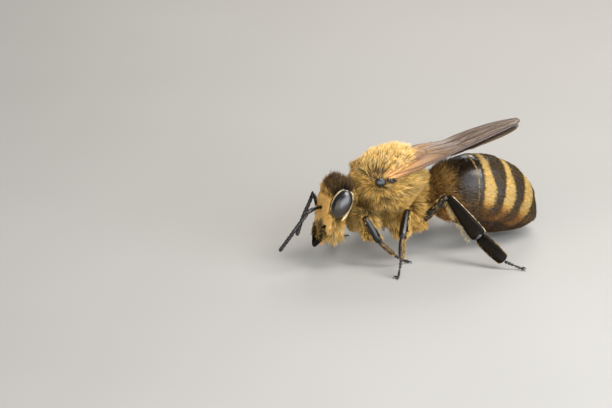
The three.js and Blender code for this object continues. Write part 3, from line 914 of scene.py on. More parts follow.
# %% Jaws and tongue
JAW_PROFILE = ((0, 0.6), (0.12, 1.0), (0.35, 0.95), (0.6, 0.72), (0.8, 0.56), (0.94, 0.42), (1, 0.2))
JAW_GIRTH = (0.29, 0.17)
JAW_ROOT_SHIFT = 0.12
JAW_TIP_SHIFTS = {"left": 0.2, "right": -0.14}
TONGUE_PROFILE = ((0, 0.9), (0.1, 1.0), (0.5, 0.85), (0.85, 0.6), (1, 0.35))
for hand, side in SIDES.items():
    near, far = ends_of(f"mandible_{hand}", HEAD_TURN @ Vector((-4.6, 0, 3.0)))
    near, far = near.lerp(far, -0.2), far.lerp(near, 0.08)
    far.y += JAW_TIP_SHIFTS[hand]
    near.x += JAW_ROOT_SHIFT
    lengths[hand, "jaw", "outer"] = near, far, *JAW_GIRTH, JAW_PROFILE, X_AXIS
    jaw = limb(f"jaw_{hand}", near, far, *JAW_GIRTH, JAW_PROFILE, 14, bow=-0.05 * side)
    shelve(jaw, "horn", BASKET_HORN, replaces=[f"mandible_{hand}"])
lip = place(bead("hanging_lip", (-5.27, 0, 1.72), (0.12, 0.4, 0.36), (0, math.radians(10), 0)), HEAD_TURN)
shelve(lip, "horn", BROWN_HORN)
near, far = ends_of("proboscis", Vector((-4.6, 0, 3.0)))
tongue = [limb("tongue", near, far.lerp(near, 0.05), 0.2, 0.2, TONGUE_PROFILE, 12)]
for side in SIDES.values():
    shift = Vector((0, side * 0.17, 0.05))
    tongue.append(limb("sheath", near + shift, far.lerp(near, 0.25) + shift * 0.7, 0.13, 0.2,
                       TONGUE_PROFILE, 12))
shelve(join("folded_tongue", tongue), "tongue", AMBER_HORN, replaces=["proboscis"])

# %% [markdown]
# ## Wings
#
# A bee's wing is a clear brown sheet held flat by stiff veins. The sheet is a fine
# grid whose points are moved to their places on the wing, and which is then made
# thicker. The veins are curves with a round section, made into meshes. The stout
# leading edge faces outwards and the left wings lie over the right ones.

# %% Wing places and outlines
WINGS = {
    "forewing": {"length": 9.05, "chord": 2.85, "setback": 0.0, "inset": 0.0, "drop": 0.0},
    "hindwing": {"length": 6.0, "chord": 1.55, "setback": 0.9, "inset": 0.75, "drop": 0.06},
}
# For each side: the hinge, the tip, the way inwards, the droop and the lean of the root in degrees.
WING_PLACES = {
    "left": (Vector((-1.95, -1.95, 4.8)), Vector((6.25, -1.1, 6.65)), 1, 7, 34),
    "right": (Vector((-1.95, 1.95, 4.6)), Vector((6.5, 0.9, 6.15)), -1, -7, 0),
}
WING_SLOPE = math.atan2(1.85, 8.2)
WING_SPAN = (-2.0, 6.5)


def bend(*points, count=24):
    """Points on a Bezier curve through its control points, of any number."""
    points = np.array(points, float)
    shares = np.linspace(0, 1, count)[:, None]
    layers = [np.repeat(point[None], count, axis=0) for point in points]
    while len(layers) > 1:
        layers = [a * (1 - shares) + b * shares for a, b in zip(layers, layers[1:])]
    return layers[0]


LEAD_EDGE = np.concatenate([bend((0, 0), (0.5, -0.07), (0.9, 0.04)),
                            bend((0.9, 0.04), (1.0, 0.05), (1.0, 0.4))[1:]])
TRAIL_EDGE = np.concatenate([bend((0, 0.22), (0.2, 0.55), (0.45, 1.02), (0.66, 1.0)),
                             bend((0.66, 1.0), (0.82, 0.93), (0.97, 0.7), (1.0, 0.4))[1:]])


def edges_at(share):
    """Where the leading and the trailing edge are, in chords, at a share of the length."""
    return (np.interp(share, LEAD_EDGE[:, 0], LEAD_EDGE[:, 1]),
            np.interp(share, TRAIL_EDGE[:, 0], TRAIL_EDGE[:, 1]))


def wing_height(share, across):
    """How high the sheet stands: pleats that fan out from the root and fade at the tip."""
    lead, trail = edges_at(share)
    part = np.clip((across - lead) / np.maximum(trail - lead, 0.02), 0, 1)
    fade = step(share, 0.0, 0.12) * (1 - 0.75 * step(share, 0.45, 1.0))
    return 0.05 * np.cos(part * 2 * math.pi * 3.5) * fade + 0.12 * part * (1 - part)


def on_wing(wing, hand, share, across):
    """Points of a wing in millimetres, from shares of its length and its chord."""
    sizes = WINGS[wing]
    hinge, tip, inward, droop, lean = WING_PLACES[hand]
    along = (tip - hinge).normalized()
    flat = (Vector((0, inward, 0)) - along * inward * along.y).normalized()
    over = along.cross(flat) * inward
    tilt = math.radians(droop)
    across_way = flat * math.cos(tilt) - over * math.sin(tilt)
    normal = along.cross(across_way) * inward
    share, across = np.asarray(share, float), np.asarray(across, float)
    height = wing_height(share, across) - sizes["drop"]
    out, off = share * sizes["length"] + sizes["setback"], across * sizes["chord"] + sizes["inset"]
    angle = math.radians(lean) * (1 - step(out / WINGS["forewing"]["length"], 0.1, 0.6))
    level, raised = off * np.cos(angle) - height * np.sin(angle), off * np.sin(angle) + height * np.cos(angle)
    return (np.array(hinge) + np.multiply.outer(out, np.array(along))
            + np.multiply.outer(level, np.array(across_way)) + np.multiply.outer(raised, np.array(normal)))


print("left wing tip at", on_wing("forewing", "left", 1.0, 0.3).round(2))

# %% Pressing the right wings under the left ones
WING_GAP = {"forewing": 0.2, "hindwing": 0.28}
steps = np.array([(share, part) for share in np.linspace(0, 1, 60) for part in np.linspace(0, 1, 24)])
lead, trail = edges_at(steps[:, 0])
upper_wing = on_wing("forewing", "left", steps[:, 0], lead + steps[:, 1] * (trail - lead))
upper_tree = kdtree.KDTree(len(upper_wing))
for i, (x, y, z) in enumerate(upper_wing):
    upper_tree.insert((x, y, 0), i)
upper_tree.balance()


def pressed(points, wing):
    """Right wing points, moved down where the left wing lies over them."""
    points = points.copy()
    for point in points:
        _, i, away = upper_tree.find((point[0], point[1], 0))
        ceiling = upper_wing[i, 2] - WING_GAP[wing] + 0.5 * max(away - 0.12, 0)
        point[2] = min(point[2], ceiling)
    return points


def place_on(wing, hand, share, across):
    """Points on a folded wing of either side."""
    points = on_wing(wing, hand, share, across)
    return pressed(points, wing) if hand == "right" else points


# %% Clear sheets and veins
def wing_sheet(name, wing, hand):
    """The clear sheet: a grid whose points are moved to their places on the wing."""
    columns, rows = 84, 56
    pick()
    bpy.ops.mesh.primitive_grid_add(x_subdivisions=columns, y_subdivisions=rows, size=1)
    sheet = bpy.context.object
    sheet.name = name
    flat = points_of(sheet.data)
    share = np.sin((flat[:, 0] + 0.5) * math.pi / 2)
    lead, trail = edges_at(share)
    across = lead + (flat[:, 1] + 0.5) * (trail - lead)
    places = place_on(wing, hand, share, across)
    sheet.data.vertices.foreach_set("co", places.astype(np.float32).ravel())
    sheet.data.update()
    bpy.ops.object.mode_set(mode="EDIT")
    bpy.ops.mesh.select_all(action="SELECT")
    bpy.ops.mesh.remove_doubles(threshold=1e-4)
    bpy.ops.object.mode_set(mode="OBJECT")
    apply_modifier(sheet, "SOLIDIFY", thickness=0.012, offset=0)
    sheet.data.shade_smooth()
    return sheet


def smooth_run(points):
    """A smooth run of points through the given ones, six for each step between two."""
    points = np.array([points[0], *points, points[-1]], float)
    run = []
    for a, b, c, d in zip(points, points[1:], points[2:], points[3:]):
        for t in np.linspace(0, 1, 6, endpoint=False):
            run.append(0.5 * (2 * b + (c - a) * t + (2 * a - 5 * b + 4 * c - d) * t ** 2
                              + (3 * b - a - 3 * c + d) * t ** 3))
    return np.array([*run, points[-1]])


FORE_VEINS = (
    (0.052, 0.6, ((0, 0.02), (0.15, -0.018), (0.3, -0.03), (0.45, -0.033), (0.6, -0.028), (0.75, -0.005),
                  (0.86, 0.025), (0.93, 0.06))),
    (0.05, 0.6, ((0, 0.1), (0.15, 0.075), (0.3, 0.05), (0.45, 0.035), (0.58, 0.03))),
    (0.03, 0.7, ((0.56, 0.03), (0.6, 0.1), (0.66, 0.17), (0.75, 0.2), (0.85, 0.18), (0.92, 0.11),
                 (0.935, 0.07))),
    (0.042, 0.7, ((0, 0.14), (0.1, 0.2), (0.2, 0.26), (0.33, 0.33))),
    (0.03, 0.9, ((0.33, 0.33), (0.36, 0.24), (0.41, 0.14), (0.45, 0.04))),
    (0.03, 0.8, ((0.385, 0.19), (0.46, 0.27), (0.53, 0.34), (0.6, 0.42), (0.68, 0.5), (0.78, 0.55),
                 (0.82, 0.55))),
    (0.026, 0.9, ((0.58, 0.06), (0.57, 0.18), (0.54, 0.35))),
    (0.026, 0.9, ((0.66, 0.17), (0.67, 0.3), (0.63, 0.45))),
    (0.024, 0.8, ((0.8, 0.2), (0.845, 0.33), (0.845, 0.45), (0.8, 0.56))),
    (0.03, 0.7, ((0.33, 0.33), (0.35, 0.45), (0.4, 0.58), (0.5, 0.68), (0.62, 0.76))),
    (0.026, 0.9, ((0.6, 0.42), (0.605, 0.54), (0.57, 0.73))),
    (0.024, 0.8, ((0.74, 0.54), (0.76, 0.65), (0.7, 0.78), (0.62, 0.76))),
    (0.034, 0.6, ((0, 0.19), (0.08, 0.3), (0.18, 0.48), (0.3, 0.66), (0.42, 0.78), (0.52, 0.84))),
    (0.026, 0.9, ((0.3, 0.3), (0.29, 0.42), (0.26, 0.6))),
)
HIND_VEINS = (
    (0.04, 0.6, ((0, 0.02), (0.2, -0.02), (0.45, -0.03), (0.6, -0.02))),
    (0.03, 0.7, ((0, 0.12), (0.2, 0.2), (0.4, 0.22), (0.6, 0.27), (0.8, 0.33))),
    (0.026, 0.7, ((0.3, 0.22), (0.38, 0.4), (0.55, 0.55), (0.75, 0.66))),
    (0.03, 0.7, ((0, 0.19), (0.12, 0.35), (0.3, 0.55), (0.45, 0.7))),
)


def vein(wing, hand, girth, end_girth, places):
    """One vein: a smooth curve on the sheet with a round section, made into a mesh."""
    run = smooth_run(places)
    points = place_on(wing, hand, run[:, 0], run[:, 1])
    curve = bpy.data.curves.new("vein", "CURVE")
    curve.dimensions = "3D"
    curve.bevel_depth = girth
    curve.bevel_resolution = 2
    curve.use_fill_caps = True
    spline = curve.splines.new("POLY")
    spline.points.add(len(points) - 1)
    spline.points.foreach_set("co", np.c_[points, np.ones(len(points))].astype(np.float32).ravel())
    shares = np.linspace(0, 1, len(points))
    spline.points.foreach_set("radius", (1 - (1 - end_girth) * shares).astype(np.float32))
    piece = bpy.data.objects.new("vein", curve)
    bpy.context.scene.collection.objects.link(piece)
    pick(piece)
    bpy.ops.object.convert(target="MESH")
    piece.data.shade_smooth()
    return piece


# %% Wing finish
def membrane_material():
    """Clear brown sheet with a gloss."""
    material, tree, shader = new_material("wing_membrane")
    tint = ramp(tree, between(tree, "X", *WING_SPAN), (0.0, (0.66, 0.32, 0.08)), (0.25, (0.38, 0.19, 0.065)),
                (0.5, (0.125, 0.07, 0.035)), (1.0, (0.105, 0.066, 0.038)))
    link(tree, mix(tree, wandering(tree, 900, 0.0, 0.5), tint, (0.13, 0.07, 0.033)),
         shader.inputs["Base Color"])
    link(tree, wandering(tree, 1500, 0.76, 0.87), shader.inputs["Alpha"])
    link(tree, wandering(tree, 4000, 0.36, 0.5), shader.inputs["Roughness"])
    shader.inputs["Specular IOR Level"].default_value = 0.35
    streaks = tree.nodes.new("ShaderNodeMapping")
    streaks.vector_type = "TEXTURE"
    streaks.inputs["Rotation"].default_value = (0, -WING_SLOPE, 0)
    streaks.inputs["Scale"].default_value = (7.0, 1.0, 1.0)
    link(tree, object_place(tree), streaks.inputs["Vector"])
    bump(tree, shader, (noise(tree, 6000, 2.0, streaks.outputs["Vector"]), 0.0025 * MM),
         (noise(tree, 30000, 2.0), 0.001 * MM))
    return material


def vein_material():
    """Amber at the wing's root, dark brown further out."""
    material, tree, shader = new_material("wing_vein")
    tint = ramp(tree, between(tree, "X", *WING_SPAN), (0.05, (0.46, 0.19, 0.035)), (0.3, (0.13, 0.05, 0.02)),
                (0.7, (0.045, 0.02, 0.018)))
    link(tree, mix(tree, noise(tree, 7000), tint, (0.03, 0.015, 0.012)), shader.inputs["Base Color"])
    link(tree, wandering(tree, 9000, 0.25, 0.4), shader.inputs["Roughness"])
    bump(tree, shader, (noise(tree, 30000, 2.0), 0.004 * MM))
    return material


MEMBRANE, VEIN_HORN = membrane_material(), vein_material()
for hand in SIDES:
    for wing, veins in (("forewing", FORE_VEINS), ("hindwing", HIND_VEINS)):
        sheet = wing_sheet(f"{wing}_sheet_{hand}", wing, hand)
        shelve(sheet, "wing", MEMBRANE, replaces=[f"{wing}_{hand}"])
        net = join(f"{wing}_veins_{hand}", [vein(wing, hand, *one) for one in veins])
        shelve(net, "wing", VEIN_HORN)

# %% [markdown]
# ## Wing roots
#
# A smooth horn scale, the tegula, covers each wing's hinge. Beside it lie small
# shining plates. The scale is a rounded form set where its solid is.

# %% Wing roots
SCALE_SHIFTS = {"left": Vector((-0.18, -0.06, 0.02)), "right": Vector((0.12, -0.08, -0.05))}
SCALE_HALF = (0.36, 0.28, 0.13)
PLATE_SIZES = ((0.1, 0.13), (0.45, 0.12), (0.75, 0.1), (1.0, 0.08))

for hand, side in SIDES.items():
    middle = main_axes(f"tegula_{hand}")[0]
    hinge = WING_PLACES[hand][0]
    outward = Vector((-0.12, side * 0.9, 0.42)).normalized()
    turn = outward.to_track_quat("Z", "Y").to_matrix().to_4x4()
    scale = bead(f"hinge_scale_{hand}", (0, 0, 0), SCALE_HALF)
    scale = place(scale, Matrix.Translation(middle + SCALE_SHIFTS[hand]) @ turn)
    shelve(scale, "horn", BLACK_HORN, replaces=[f"tegula_{hand}"])
    start = middle + Vector((0.24, side * 0.14, 0.02))
    chips = []
    for share, size in PLATE_SIZES:
        spot = start.lerp(hinge + Vector((0.28, 0, 0.04)), share) + Z_AXIS * 0.05 * (-1) ** len(chips)
        chip = bead("chip", (0, 0, 0), (size * 1.3, size, size * 0.7), levels=1)
        chips.append(place(chip, Matrix.Translation(spot) @ turn))
    shelve(join(f"hinge_plates_{hand}", chips), "horn", BLACK_HORN)

# %% [markdown]
# ## The coat
#
# A bee's coat is thousands of branched hairs. Hair systems are lost when a model is
# handed on, so the coat is real geometry: tufts of three sides that taper to a
# point. One function grows them all at once from arrays, as adding them singly
# would take hours. Each tuft starts in one direction, ends in another, and may lean
# towards the middle of its lock. Its unwrap is a small patch at its root's place.


# %% Growing tufts
RANDOM = np.random.default_rng(20)
PATCH = 0.003


def unit(vectors):
    return vectors / np.maximum(np.linalg.norm(vectors, axis=-1, keepdims=True), 1e-9)


def surface_of(pieces):
    """Triangles and their corner normals of finished pieces, in millimetres."""
    triangles, normals = [], []
    for piece in pieces:
        mesh = piece.data
        mesh.calc_loop_triangles()
        index = np.zeros(len(mesh.loop_triangles) * 3, int)
        mesh.loop_triangles.foreach_get("vertices", index)
        around = np.zeros(len(mesh.vertices) * 3, np.float32)
        mesh.vertices.foreach_get("normal", around)
        triangles.append((points_of(mesh) / MM)[index.reshape(-1, 3)])
        normals.append(around.reshape(-1, 3)[index.reshape(-1, 3)])
    return np.concatenate(triangles), np.concatenate(normals)


def roots_on(surface, per_mm2, wanted):
    """Even random roots on a surface. `wanted` gives the share of them kept at each place."""
    triangles, normals = surface
    cross = np.cross(triangles[:, 1] - triangles[:, 0], triangles[:, 2] - triangles[:, 0])
    area = np.linalg.norm(cross, axis=1) / 2
    share = np.clip(wanted(triangles.mean(axis=1)), 0, 1)
    count = RANDOM.poisson(area * share * per_mm2)
    chosen = np.repeat(np.arange(len(area)), count)
    a, b = RANDOM.random((2, len(chosen), 1))
    a, b = np.where(a + b > 1, 1 - a, a), np.where(a + b > 1, 1 - b, b)
    corner, normal = triangles[chosen], normals[chosen]
    places = corner[:, 0] + a * (corner[:, 1] - corner[:, 0]) + b * (corner[:, 2] - corner[:, 0])
    return places, unit(normal[:, 0] + a * (normal[:, 1] - normal[:, 0]) + b * (normal[:, 2] - normal[:, 0]))


def lying(normals, lie, stand):
    """Directions between the lie, kept to the surface, and the normal: stand 0 is flat, 1 upright."""
    lie = np.broadcast_to(lie, normals.shape)
    flat = unit(lie - normals * (lie * normals).sum(axis=1, keepdims=True))
    stand = np.broadcast_to(np.asarray(stand, float), len(normals))[:, None] * math.pi / 2
    return flat * np.cos(stand) + normals * np.sin(stand)


def locks_of(places, every):
    """The number of the lock that each tuft belongs to: one tuft in `every` leads a lock."""
    tree = kdtree.KDTree(len(places[::every]))
    for i, place_at in enumerate(places[::every]):
        tree.insert(place_at, i)
    tree.balance()
    return np.array([tree.find(point)[1] for point in places])


def unwrap_round(places, first, last):
    """A cylinder's unwrap about the line from first to last, as shares from 0 to 1."""
    first, last = np.array(first, float), np.array(last, float)
    axis = last - first
    length = np.linalg.norm(axis)
    axis = axis / length
    side = unit(np.cross(axis, (0, 0, 1.0)))
    off = places - first
    turn = np.arctan2(off @ side, off @ np.cross(side, axis)) / (2 * math.pi) + 0.5
    return np.stack([turn, np.clip(off @ axis / length, 0, 1)], axis=1) * 0.99


def mesh_of(name, points, triangles, corner_uv, **values):
    """A mesh object from arrays, with its unwrap and numbers on its vertices."""
    mesh = bpy.data.meshes.new(name)
    mesh.vertices.add(len(points))
    mesh.vertices.foreach_set("co", points.astype(np.float32).ravel())
    mesh.loops.add(triangles.size)
    mesh.loops.foreach_set("vertex_index", triangles.astype(np.int32).ravel())
    mesh.polygons.add(len(triangles))
    mesh.polygons.foreach_set("loop_start", np.arange(0, triangles.size, 3, dtype=np.int32))
    mesh.update(calc_edges=True)
    layer = mesh.uv_layers.new(name="OFBake")
    layer.data.foreach_set("uv", corner_uv.astype(np.float32).ravel())
    store(mesh, **values)
    mesh.shade_smooth()
    piece = bpy.data.objects.new(name, mesh)
    bpy.context.scene.collection.objects.link(piece)
    return piece


def grow(name, slot, places, start, end, length, uv, width=0.034, segments=3, lock=0.4, every=9,
         jitter=0.14, tones=None, even=0.0, bright=0.4):
    """One piece of coat: a tuft from each place, leaving along `start` and ending along `end`.

    `even` takes the painted root shade out of short hair that lies flat and draws its tone to `bright`."""
    count = len(places)
    warm, dark = markings_and_shade(places) if tones is None else tones
    warm = np.broadcast_to(warm, count) + RANDOM.normal(0, 0.12, count)
    dark = np.clip(np.broadcast_to(dark, count) + RANDOM.normal(0, 0.06, count), 0, 1)
    locks = locks_of(places, every)
    length = length * RANDOM.uniform(0.72, 1.12, count) * RANDOM.uniform(0.85, 1.12, locks.max() + 1)[locks]
    start = unit(start + RANDOM.normal(0, jitter, (count, 3)))
    end = unit(end + RANDOM.normal(0, jitter, (count, 3)))
    shares = np.linspace(0, 1, segments + 1)
    reach = shares - shares ** 2 / 2
    path = (places[:, None] + length[:, None, None]
            * (start[:, None] * reach[:, None] + end[:, None] * (shares ** 2 / 2)[:, None]))
    pull = (path[locks * every, -1] - path[:, -1]) * lock
    path += pull[:, None] * (shares ** 2)[:, None]
    ahead = unit(path[:, -1] - path[:, 0])
    spin = unit(np.cross(ahead, RANDOM.normal(0, 1, (count, 3))))
    other = np.cross(ahead, spin)
    girth = width / 2 * np.array([1.0, 0.95, 0.7, 0.45])[:segments]
    girth = girth[None] * RANDOM.uniform(0.8, 1.2, (count, 1))
    corners = []
    for i in range(3):
        turn = 2 * math.pi * i / 3
        around = spin * math.cos(turn) + other * math.sin(turn)
        corners.append(path[:, :-1] + around[:, None] * girth[:, :, None])
    rings = np.stack(corners, axis=2)
    per = segments * 3 + 1
    points = np.concatenate([rings.reshape(count, -1, 3), path[:, -1:]], axis=1).reshape(-1, 3)
    faces, patch = [], []
    for level in range(segments):
        for i in range(3):
            low, near = level * 3 + i, level * 3 + (i + 1) % 3
            u0, u1, v0, v1 = i / 3, (i + 1) / 3, level / segments, (level + 1) / segments
            if level + 1 == segments:
                faces.append((low, near, per - 1))
                patch.append(((u0, v0), (u1, v0), ((u0 + u1) / 2, 1)))
            else:
                faces += [(low, near, near + 3), (low, near + 3, low + 3)]
                patch += [((u0, v0), (u1, v0), (u1, v1)), ((u0, v0), (u1, v1), (u0, v1))]
    triangles = (np.array(faces)[None] + np.arange(count)[:, None, None] * per).reshape(-1, 3)
    corner_uv = uv[:, None, None] + np.array(patch)[None] * PATCH
    along = np.tile(np.append(np.repeat(shares[:-1], 3), 1.0), count) * (1 - even) + even
    tone = 0.5 * RANDOM.random(locks.max() + 1)[locks] + 0.5 * RANDOM.random(count)
    tone = tone * (1 - even) + bright * even
    piece = mesh_of(name, points, triangles, corner_uv, along=along, tone=np.repeat(tone, per),
                    warm=np.repeat(warm, per), dark=np.repeat(dark, per))
    shelve(piece, slot, FUR)


# %% Fur finish
def fur_material():
    """Hair: straw or orange-brown along it, paler at the tip, with painted shade that darkens it towards the
    root.
    """
    material, tree, shader = new_material("fur")
    gold = ramp(tree, attribute(tree, "warm"), (0.0, (0.98, 0.80, 0.50)), (0.12, (0.97, 0.67, 0.23)),
                (0.3, (0.95, 0.54, 0.09)), (0.6, (0.78, 0.34, 0.04)), (0.95, (0.46, 0.16, 0.015)))
    pale = ramp(tree, attribute(tree, "along"), (0.5, 0.0), (1.0, 0.42))
    gold = mix(tree, pale, gold, (1.0, 0.78, 0.38))
    brown = ramp(tree, attribute(tree, "along"), (0.0, (0.012, 0.007, 0.003)), (1.0, (0.10, 0.05, 0.018)))
    coat = mix(tree, attribute(tree, "dark"), gold, brown)
    # Painted shade deep in the coat: every hair darkens towards its root.
    depth = ramp(tree, attribute(tree, "along"), (0.0, 0.05), (0.35, 0.5), (0.7, 1.0))
    shade = ramp(tree, attribute(tree, "tone"), (0.15, 0.45), (0.65, 1.0))
    link(tree, mix(tree, 1.0, mix(tree, 1.0, coat, depth, "MULTIPLY"), shade, "MULTIPLY"),
         shader.inputs["Base Color"])
    link(tree, ramp(tree, attribute(tree, "tone"), (0.0, 0.5), (1.0, 0.65)), shader.inputs["Roughness"])
    bump(tree, shader, (noise(tree, 60000, 1.0), 0.002 * MM))
    shader.inputs["Specular IOR Level"].default_value = 0.2
    return material


FUR = fur_material()

# %% [markdown]
# ## Coat of the thorax
#
# The hairs leave the middle of the side like the rays of a star: forwards in front,
# up on the back, rearwards behind and down below. A smooth near-bald shield is left
# beside each wing root, and there the shell shines through.


# %% Coat of the thorax
STAR = (-2.3, 4.45)
BALD = (np.array([-2.5, 1.15, 5.0]), np.array([0.66, 0.55, 0.42]))
SHORT_BELOW_WING = (np.array([-2.6, 1.6, 4.1]), np.array([0.7, 0.6, 0.7]))
skin_surface = surface_of([skin])


def radiating(points):
    """Directions away from the middle of the star, on the thorax's side."""
    x, y, z = points.T
    return unit(np.stack([x - STAR[0], 0.12 * y, z - STAR[1]], axis=1))


def thorax_share(points):
    x, _, z = points.T
    inside = (x > -3.45) & (x < 1.25) & (z > 2.3)
    return inside * (1 - 0.8 * seen_patch(points, *BALD))


def thorax_length(points):
    x, _, z = points.T
    return (0.5 + 0.28 * step(-z, -3.4, -2.8) + 0.46 * seen_patch(points, *BEHIND_WING)
            + 0.16 * step(z, 5.2, 5.7) + 0.22 * step(-x, 2.7, 3.3) * step(z, 4.6, 5.0)
            - 0.16 * seen_patch(points, *SHORT_BELOW_WING))


for hand, side in SIDES.items():
    places, normals = roots_on(skin_surface, 560, lambda p: thorax_share(p) * (p[:, 1] * side > 0))
    lie = radiating(places)
    stand = 0.36 + 0.36 * step(places[:, 2], 4.8, 5.5) - 0.1 * seen_patch(places, *BEHIND_WING)
    start = lying(normals, lie, stand + 0.1)
    end = unit(lying(normals, lie, stand * 0.8) + np.array([0.06, 0, -0.06]))
    grow(f"coat_thorax_{hand}", "fur", places, start, end, thorax_length(places),
         unwrap_round(places, (-3.6, 0, 4.0), (1.0, 0, 4.0)), width=0.023, lock=0.32, every=11)

# %% Coat of the underside and hips
places, normals = roots_on(skin_surface, 330, lambda p: (p[:, 0] > -3.8) & (p[:, 0] < 1.3) & (p[:, 2] <= 2.3))
lie = unit(np.stack([0.35 * (places[:, 0] + 1.5), 0.3 * places[:, 1], np.full(len(places), -1.0)], axis=1))
grow("coat_under", "fur", places, lying(normals, lie, 0.4), unit(lie + 0.2 * normals),
     0.62 - 0.28 * step(-places[:, 0], 2.3, 2.9), unwrap_round(places, (-3.8, 0, 2.6), (1.3, 0, 2.6)),
     lock=0.55, every=12)

# %% [markdown]
# ## Coat of the head
#
# Long dark hairs stand on the crown, short orange ones cover the brow, and a pale
# beard hangs behind the jaws. The smooth lower face has only a fine down. A rim of
# cream hairs frames each eye, which makes the eye look bright.


# %% Coat of the head
UNTURN = np.array(HEAD_TURN.inverted())
HEAD_WRAP = ((-4.4, 0, 1.6), (-4.4, 0, 5.0))


def facing_ahead(points):
    """Points of the head as they would be if it were not turned."""
    return points @ UNTURN[:3, :3].T + UNTURN[:3, 3]


def turned(directions):
    return directions @ np.array(HEAD_TURN)[:3, :3].T


def beside_eye(points):
    """1 on the narrow strip round each eye where its pale rim grows instead of other hair."""
    near = np.zeros(len(points))
    for middle, axes, half in eye_places.values():
        local = (points - np.array(middle)) @ np.array([list(axis) for axis in axes]).T
        far = np.linalg.norm(local / half * np.array([1.0, 1.0, 0.75]), axis=1)
        near = np.maximum(near, (1 - step(far, 1.04, 1.12)) * (points[:, 1] * middle[1] > 0))
    return near


def part_of_head(points, name):
    x, y, z = facing_ahead(points).T
    side = np.abs(y)
    crown = step(z, 3.95, 4.2) * step(x, -5.05, -4.8)
    beard = step(-z, -3.3, -2.9) * step(x, -4.95, -4.7) * step(side, 0.3, 0.6)
    rear = step(x, -4.7, -4.5)
    smooth = step(-z, -3.0, -2.7) * step(-x, 4.85, 5.0) * step(-side, -0.62, -0.42)
    here = {"crown": crown * (1 - beard), "beard": beard * (1 - rear), "cheek": beard * rear,
            "smooth": smooth}
    here["face"] = 1 - np.clip(crown + beard + smooth, 0, 1)
    return here[name] * (points[:, 0] < -3.6) * (1 - beside_eye(points))


HEAD_COATS = {
    "crown": (480, 0.52, (0.05, 0, 1.0), 0.75, 0.027),
    "face": (800, 0.32, (-0.5, 0, -0.6), 0.42, 0.024),
    "smooth": (200, 0.14, (-0.1, 0, -1.0), 0.2, 0.02),
    "beard": (750, 0.85, (0.0, 0, -1.0), 0.22, 0.024),
    "cheek": (800, 1.05, (0.5, 0, -1.0), 0.3, 0.024),
}
for word, (per_mm2, long, lie, stand, width) in HEAD_COATS.items():
    places, normals = roots_on(skin_surface, per_mm2, lambda p: part_of_head(p, word))
    lie = turned(np.broadcast_to(np.array(lie, float), places.shape))
    is_crown = word == "crown"
    longer = 0.75 + 0.55 * step(places[:, 0], -4.75, -4.3) if is_crown else np.ones(len(places))
    grow(f"coat_{word}", "fur", places, lying(normals, lie, stand), unit(lying(normals, lie, stand * 0.5)),
         long * longer, unwrap_round(places, *HEAD_WRAP), width=width,
         lock=0.4 if is_crown else 0.22, every=9 if is_crown else 7, jitter=0.26 if is_crown else 0.14,
         even=0.55 if word == "face" else 0.0, bright=0.8)

# %% Eye rims
RIM_OUT = 1.05
RIM_CORNER = 84


def round_eye(eye, degrees):
    """Points on the eye's edge: 0 is its lowest end, 90 its front, 180 its top and 270 its rear."""
    middle, axes, half = eye
    down = np.array(axes[0] * (-1 if axes[0].z > 0 else 1))
    front = np.array(axes[1] * (-1 if axes[1].x > 0 else 1))
    turn = np.radians(degrees)[:, None]
    return np.array(middle) + RIM_OUT * (np.cos(turn) * half[0] * down + np.sin(turn) * half[1] * front)


def on_skin(points):
    """The nearest place on the skin to each point, with its normal, in millimetres."""
    hits = [skin.closest_point_on_mesh(Vector(point) * MM) for point in points]
    return np.array([hit[1] for hit in hits]) / MM, np.array([hit[2] for hit in hits])


def rim_roots(eye, word, count):
    """Roots along one rim of an eye, and the direction in which that rim runs down.

    Below its corner the front rim leaves the eye's edge and runs straight on."""
    if word == "rear":
        degrees = RANDOM.uniform(188, 312, count)
        return round_eye(eye, degrees), unit(round_eye(eye, degrees + 4) - round_eye(eye, degrees))
    degrees = RANDOM.uniform(60, 165, count)
    low = unit(round_eye(eye, np.array([80.0])) - round_eye(eye, np.array([88.0])))
    edge = np.maximum(degrees, RIM_CORNER)
    roots = round_eye(eye, edge) + low * np.maximum(RIM_CORNER - degrees, 0)[:, None] * 0.02
    run = unit(round_eye(eye, edge - 4) - round_eye(eye, edge))
    return roots, run


RIMS = {"front": (640, 0.2, 0.1, 0.022, 0.1), "rear": (620, 0.34, 0.3, 0.024, 0.2)}
for hand in SIDES:
    for word, (count, long, stand, width, lift) in RIMS.items():
        roots, run = rim_roots(eye_places[hand], word, count)
        rim, normals = on_skin(roots)
        rim = rim + normals * lift + RANDOM.normal(0, 0.012, rim.shape)
        grow(f"coat_eye_rim_{word}_{hand}", "fur", rim, lying(normals, run, stand),
             unit(run + 0.1 * normals), np.full(count, long),
             unwrap_round(rim, *HEAD_WRAP), width=width, lock=0.1, every=8, jitter=0.07,
             tones=(-0.1, 0.0), even=0.5)

# %% [markdown]
# ## Coat of the abdomen
#
# Four things grow here: long orange fur on the first ring, golden felt that lies
# flat at the front of three rings, a row of very short hairs near the second ring's
# edge, and thin short hairs over the rest, which dull the dark shell a little.

# %% Coat of the abdomen
plate_surface = surface_of(plates)
ABDOMEN_WRAP = ((1.0, 0, 3.0), (8.05, 0, 0.72))


def backward(places):
    """The direction towards the abdomen's tip."""
    lean = np.interp(share_of(places), LINE_SHARES, LINE_POINTS[:, 2])
    return np.stack([np.cos(lean), np.zeros(len(lean)), np.sin(lean)], axis=1)


def band(first, last):
    """The felt's hairs between two shares of the length. It thins out on the lower side."""
    return lambda share, lower, above: felt(share, above) * (share > first) * (share < last) * (1 - lower)


def down_kept(share, lower, above):
    return step(share, 0.12, 0.2) * (1 - felt(share, above) * (1 - lower))


def saddle(points):
    """The bare and shining upper side of the second ring."""
    share = share_of(points)
    above = points[:, 2] - np.interp(share, LINE_SHARES, LINE_POINTS[:, 1])
    return step(above, 0.55, 1.0) * step(share, 0.17, 0.22) * (1 - step(share, 0.33, 0.36))


